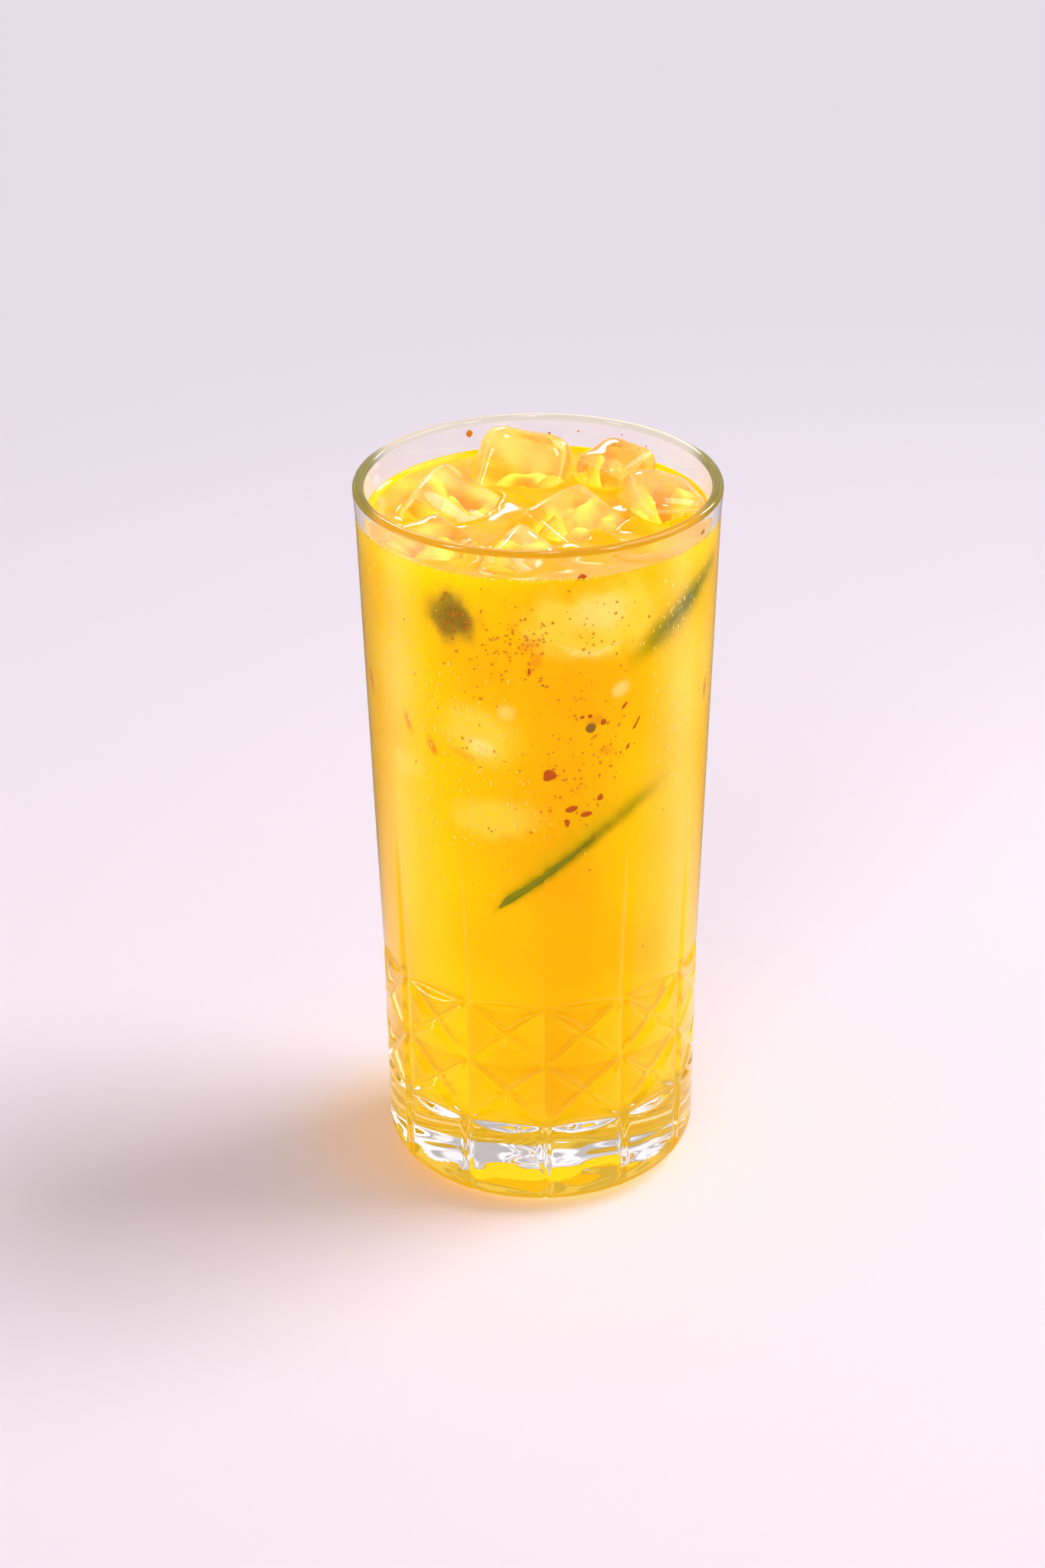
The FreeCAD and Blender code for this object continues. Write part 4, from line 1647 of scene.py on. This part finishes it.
# ---- what is sunk in the juice ------------------------------------------------------------------
PATCHES = [
    # large lump at the upper right, with a painted highlight at its core and along its lower edge
    SunkPatch(12, 141.5, 10.0, 7.0, -14, Shade.ICE_BEHIND, 0.85, 0.6, 0.08),
    SunkPatch(29, 143, 8.0, 8.5, 14, Shade.ICE_BEHIND, 0.75, 0.6, 0.08),
    SunkPatch(20, 144, 6.0, 4.0, 8, Shade.PAINTED_ICE_HIGHLIGHT, 0.55, 0.9),
    SunkPatch(15, 140, 3.4, 2.2, -24, Shade.MANGO, 0.5, 0.9),
    SunkBand(((7, 137.5, 0.4, 0.2), (13, 135.6, 0.5, 0.8), (20, 135.2, 0.5, 0.8),
              (28, 137, 0.4, 0.2)), Shade.PAINTED_ICE_HIGHLIGHT),
    # painted reflection: a pale streak low at the left, then the lumps at the left and right
    SunkPatch(-55, 82, 3.6, 20, 2, Shade.MANGO_PALE, 0.8, 0.5),
    SunkPatch(-21, 116, 8, 6, -25, Shade.ICE_BEHIND, 0.7, 0.6),
    SunkPatch(-20, 113.5, 2.6, 1.9, -25, Shade.PAINTED_ICE_HIGHLIGHT, 0.8, 0.9),
    SunkPatch(-16, 96.5, 9, 4.5, 6, Shade.ICE_BEHIND, 0.6, 0.6),
    SunkPatch(28, 126, 2.0, 1.6, 20, Shade.PAINTED_ICE_HIGHLIGHT, 0.6, 0.7),
    SunkPatch(-11, 122, 1.8, 1.6, 0, Shade.PAINTED_ICE_HIGHLIGHT, 0.4, 0.9),
    SunkPatch(-52, 104, 5, 3, 20, Shade.ICE_BEHIND, 0.6, 0.8),
    SunkPatch(66, 121, 9, 12, -10, Shade.ICE_BEHIND, 0.5, 0.9),
    SunkPatch(-58, 126, 8, 9, 10, Shade.ICE_BEHIND, 0.4, 0.9),
    # small dark slice
    SunkPatch(-29.5, 142.5, 5.4, 5.8, 35, Shade.HERB, 0.8, 0.7, 0.07),
    SunkPatch(-28.0, 142.2, 3.4, 3.8, 35, Shade.HERB_DARK, 0.5, 0.9, 0.1),
    # lower cucumber slice, its flesh and its rind, then the upper one
    SunkBand(((-17, 74, 2.2, 0.4), (3, 84, 3.2, 0.7), (22, 93, 3.5, 0.7), (48, 101, 3.5, 0.3)),
             Shade.CUCUMBER_FLESH, 2.5),
    SunkBand(((-16, 74.5, 0.7, 0.3), (-10, 78, 1.2, 0.75), (4, 84.5, 1.3, 0.8),
              (20, 92, 1.4, 0.75), (34, 97.5, 1.7, 0.55), (47, 101, 1.8, 0.15)),
             Shade.CUCUMBER_RIND),
    SunkBand(((30, 131, 2.2, 0.3), (48, 138, 3.4, 0.7), (76, 146, 3.4, 0.6)),
             Shade.CUCUMBER_FLESH, -1.5),
    SunkBand(((33, 132.5, 2.2, 0.25), (44, 136.5, 3.0, 0.8), (60, 142, 3.0, 0.9),
              (74, 146, 1.8, 0.5)), Shade.CUCUMBER_RIND),
    # haze of chilli in front
    SunkPatch(-4, 137.5, 3.0, 1.4, 25, Shade.RED_STREAK, 0.4, 0.9, 0.2),
    SunkPatch(-1, 134, 1.2, 2.0, -20, Shade.RED_STREAK, 0.4, 0.9, 0.2),
    SunkPatch(19, 119.5, 2.0, 1.5, 20, Shade.RED_STREAK, 0.4, 0.9, 0.2),
    SunkPatch(24, 112, 1.6, 1.2, 0, Shade.RED_STREAK, 0.35, 0.9, 0.2),
    SunkPatch(-27, 111, 2.6, 0.8, -25, Shade.RED_STREAK, 0.35, 0.9, 0.2),
    # fainter lumps at the sides and the back
    SunkPatch(118, 138, 8, 6, 10, Shade.ICE_BEHIND, 0.6, 0.7),
    SunkPatch(155, 127, 9, 6, -15, Shade.ICE_BEHIND, 0.55, 0.8),
    SunkPatch(-165, 140, 8, 7, 20, Shade.ICE_BEHIND, 0.6, 0.7),
    SunkPatch(-166, 141, 3, 2, 20, Shade.PAINTED_ICE_HIGHLIGHT, 0.5, 0.9),
    SunkPatch(-125, 132, 8, 6, -10, Shade.ICE_BEHIND, 0.55, 0.7),
    SunkPatch(-96, 111, 7, 5, 15, Shade.ICE_BEHIND, 0.5, 0.8),
    SunkPatch(98, 104, 6, 8, 0, Shade.ICE_BEHIND, 0.4, 0.9),
    SunkPatch(172, 103, 9, 5, 8, Shade.ICE_BEHIND, 0.45, 0.8),
    # reddish streaks near the sides
    SunkPatch(-50, 114.5, 0.8, 2.4, 20, Shade.RED_STREAK, 0.7, 0.9),
    SunkPatch(-39, 111, 0.9, 2.0, 30, Shade.RED_STREAK, 0.7, 0.9),
    SunkPatch(74, 116, 1.0, 2.6, 0, Shade.RED_STREAK, 0.7, 0.9),
    SunkPatch(-75, 118, 1.0, 2.6, 10, Shade.RED_STREAK, 0.6, 0.9),
]

# node, centre, half sizes, turns about X, Y and Z, seed
ICE = [
    IceLump("ice_back", (-4.4, 23.0, 150.3), (8.8, 7.8, 9.0), (-38.0, 13.0, -4.0), 1, power=4.5,
            swell=1.1, milk_and_painted_light=(0.1, 0.4, 0.2, 0.36, 0.3, 0.1)),
    IceLump("ice_left", (-20.1, 6.3, 145.2), (9.5, 9.3, 10.5), (9.0, 32.0, -16.0), 2),
    IceLump("ice_front_left", (-22.6, -14.7, 146.3), (7.4, 7.3, 9.0), (9.0, 18.0, -50.0),
            3, power=6.0, swell=1.06),
    IceLump("ice_front", (-4.6, -20.8, 146.2), (7.2, 7.3, 8.2), (10.0, 36.0, -18.0), 4, power=7.0),
    IceLump("ice_centre", (7.1, -3.5, 144.0), (9.3, 9.3, 10.5), (8.0, 25.0, -37.0), 5),
    IceLump("ice_right", (25.8, 5.4, 148.7), (7.7, 7.7, 8.2), (20.0, 6.0, 20.0), 6, power=4.5,
            swell=1.1),
    IceLump("ice_back_right", (16.8, 21.0, 149.2), (6.6, 6.2, 8.8), (12.0, 8.0, -38.0),
            7, power=6.0, swell=1.06),
]

# bits on the wall, one to a row: angle, height, half width, half height, tilt
FLAKES = (
    (3.0, 107.5, 1.9, 2.0, 0), (11.2, 99.3, 1.7, 1.0, 18), (16.5, 97.6, 1.4, 1.0, 0),
    (9.6, 96.0, 0.8, 1.2, 35), (21.3, 101.3, 0.8, 1.1, -20), (29.5, 121.7, 1.0, 0.55, 38),
    (14.5, 120.7, 0.6, 0.5, 0), (17.2, 120.9, 0.6, 0.6, 30), (22.0, 119.0, 0.8, 1.0, 0),
    (34.6, 117.0, 0.3, 1.6, -30), (31.5, 112.0, 0.4, 1.0, -40), (-3.1, 131.8, 0.6, 0.9, 10),
    (14.0, 153.0, 0.9, 0.6, 0), (150.0, 128.0, 1.3, 0.8, 20), (163.0, 119.0, 0.9, 1.4, -15),
    (-160.0, 113.0, 1.6, 1.0, 30), (-141.0, 125.0, 0.9, 0.6, 0), (-171.0, 99.0, 1.2, 1.3, 10),
    (110.0, 122.0, 1.1, 0.7, 10), (-110.0, 118.0, 1.3, 0.8, -25), (-96.0, 129.0, 0.7, 1.0, 0),
)
PEPPERCORN = ((17.6, 118.0, 1.6, 1.5, 0.0),)
WALL_DROPS = (
    (-156.0, 156.6, 0.75, 0.8, 0), (176, 155.4, 0.3, 0.3, 0), (166, 156.2, 0.22, 0.25, 0),
    (150, 156.8, 0.2, 0.2, 0), (64, 154.6, 0.8, 0.6, 0), (-168, 155.2, 0.16, 0.16, 0),
    (140, 155.6, 0.18, 0.2, 0),
)

# stations of the dark rinds where the cucumber touches the wall: angle, height, half width
RIND_LOWER = ((-15, 75, 0.2), (-11, 77.5, 0.9), (-4, 80.5, 0.9), (4, 84.5, 0.8), (12, 88.3, 0.5),
              (20, 92, 0.1))
RIND_UPPER = ((42, 135.8, 0.05), (48, 138, 0.35), (56, 140.6, 0.4), (66, 143.6, 0.05))

# where crumbs gather: angle, height, spread in degrees, spread in mm
CRUMB_HOMES = (
    (16, 118, 8, 7), (-6, 139, 6, 4), (-6, 138, 5, 5), (-8, 134, 7, 6), (8, 103, 8, 5),
    (22, 141, 10, 5), (-20, 120, 16, 16), (20, 111, 6, 8), (0, 120, 55, 24), (180, 105, 60, 30),
    (150, 130, 14, 10), (-120, 124, 16, 12), (165, 120, 9, 9), (-152, 114, 9, 9),
    (-100, 126, 8, 7), (108, 119, 8, 7),
)

# where small bubbles gather, in the same way
FROTH_HOMES = (
    (60, 124, 10, 12), (64, 112, 9, 8), (52, 140, 14, 6), (-54, 124, 10, 10), (-60, 138, 10, 8),
    (-30, 121, 9, 5), (-20, 114, 7, 4), (-15, 97, 10, 4), (-40, 100, 14, 14), (180, 120, 50, 20),
)


MENISCUS = 0.9      # mm that the juice climbs the wall
HIGHEST_BIT = 150.0
CRUMBS, DARK_CRUMBS, FROTH_FLECKS, RING_BUBBLES, SLICE_SPECKS = 940, 16, 760, 150, 46


def columns_of(rows: tuple[tuple[float, ...], ...]) -> list[np.ndarray]:
    """A table's columns as arrays, one for each measure."""
    return list(np.array(rows, float).T)


def gather(rng: np.random.Generator, homes: tuple[tuple[float, ...], ...], count: int,
           lowest: float) -> tuple[np.ndarray, np.ndarray]:
    """Scatters places round their homes.

    Args:
        rng: where the random draws come from.
        homes: angle, height and the spreads of both for each home.
        count: how many places are wanted.
        lowest: height below which none may lie.

    Returns:
        Angles and heights.
    """
    home = rng.integers(0, len(homes), count)
    angle, height, across, up = np.array(homes)[home].T
    return rng.normal(angle, across), rng.normal(height, up).clip(lowest, HIGHEST_BIT)


def crumb_arrays(count: int, seed: int) -> list[np.ndarray]:
    """Scatters fine crumbs over the juice.

    Args:
        count: how many.
        seed: which scatter.

    Returns:
        Angles, heights, half widths, half heights and tilts, as a table of bits has them.
    """
    rng = np.random.default_rng(seed)
    angle, height = gather(rng, CRUMB_HOMES, count, 20)
    half = 0.08 + 0.42 * rng.random(count) ** 3.2
    return [angle, height, half * rng.uniform(0.6, 1.6, count), half, rng.uniform(0, 180, count)]


def bubble_arrays(count: int, seed: int) -> list[np.ndarray]:
    """Scatters small drawn-out bubbles on the inside of the glass.

    Args:
        count: how many.
        seed: which scatter.

    Returns:
        Their columns, as the crumbs have them.
    """
    rng = np.random.default_rng(seed)
    angle, height = gather(rng, FROTH_HOMES, count, 30)
    half = rng.uniform(0.07, 0.2, count)
    return [angle, height, half, half * rng.uniform(1.2, 4.0, count), rng.normal(0, 8, count)]


def ring_arrays(count: int, seed: int, edge_z: float) -> list[np.ndarray]:
    """Seeded bubbles along the juice's upper edge, mostly in front."""
    rng = np.random.default_rng(seed)
    return [rng.normal(0, 62, count), edge_z + rng.normal(-0.15, 0.2, count),
            rng.uniform(0.08, 0.24, count), rng.uniform(0.08, 0.2, count),
            rng.uniform(0, 180, count)]


def speck_arrays(count: int, seed: int) -> list[np.ndarray]:
    """Seeded specks over the dark slice."""
    rng = np.random.default_rng(seed)
    return [-29 + rng.normal(0, 3.2, count), 142.3 + rng.normal(0, 2.0, count),
            rng.uniform(0.15, 0.5, count), rng.uniform(0.12, 0.4, count),
            rng.uniform(0, 180, count)]


def build_bits(tumbler: Tumbler, edge_z: float) -> None:
    """Makes everything that is pressed against the wall.

    Args:
        tumbler: the glass that the bits lie against.
        edge_z: height of the juice's upper edge.
    """
    WallBits("chilli_flakes", tumbler, CHILLI, 9, 18).build(*columns_of(FLAKES), seed=21)
    WallBits("peppercorn", tumbler, SOAKED_SEED, 11, 24).build(
        *columns_of(PEPPERCORN), seed=22, ragged=0.05)
    WallBits("chilli_crumbs", tumbler, PALE_CHILLI, 3, 6).build(
        *crumb_arrays(CRUMBS, 31), seed=23)
    WallBits("dark_crumbs", tumbler, SOAKED_SEED, 3, 6).build(
        *crumb_arrays(DARK_CRUMBS, 32), seed=25)
    WallBits("froth_flecks", tumbler, FROTH, 3, 7).build(
        *bubble_arrays(FROTH_FLECKS, 41), seed=24)
    WallBits("meniscus_bubbles", tumbler, FROTH, 4, 8, proud=0.25).build(
        *ring_arrays(RING_BUBBLES, 52, edge_z), seed=27, ragged=0.05)
    WallBits("wall_drops", tumbler, SEED_JELLY, 8, 16, proud=0.02).build(
        *columns_of(WALL_DROPS), seed=28, ragged=0.06)
    WallBits("slice_specks", tumbler, SEED_JELLY, 4, 8, proud=0.2).build(
        *speck_arrays(SLICE_SPECKS, 51), seed=26)
    RindLine("rind_lower", tumbler, RIND_LOWER).build(CUCUMBER_PEEL)
    RindLine("rind_upper", tumbler, RIND_UPPER).build(CUCUMBER_PEEL)


def main() -> None:
    """Builds every piece in order and reports it."""
    logging.basicConfig(level=logging.INFO, format="%(name)s %(message)s")
    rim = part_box("glass")[1]
    juice_low, juice_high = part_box("juice")
    tumbler = Tumbler(tuple(c / MM for c in rim), juice_low[2] / MM)
    tumbler.build(TUMBLER_GLASS, RIM_GLASS, FOOT_GLASS)
    juice = Juice(tumbler, juice_high[2] / MM - MENISCUS, MENISCUS, ICE, PATCHES)
    juice.build(JUICE_BEHIND_GLASS, OPEN_JUICE, JUICE_ABOVE_BASE)
    ice_material = MELTING_ICE.material()
    for lump in ICE:
        lump.build(ice_material)
    build_bits(tumbler, juice.level + MENISCUS)
    Studio().build()


if __name__ == "__main__":
    main()
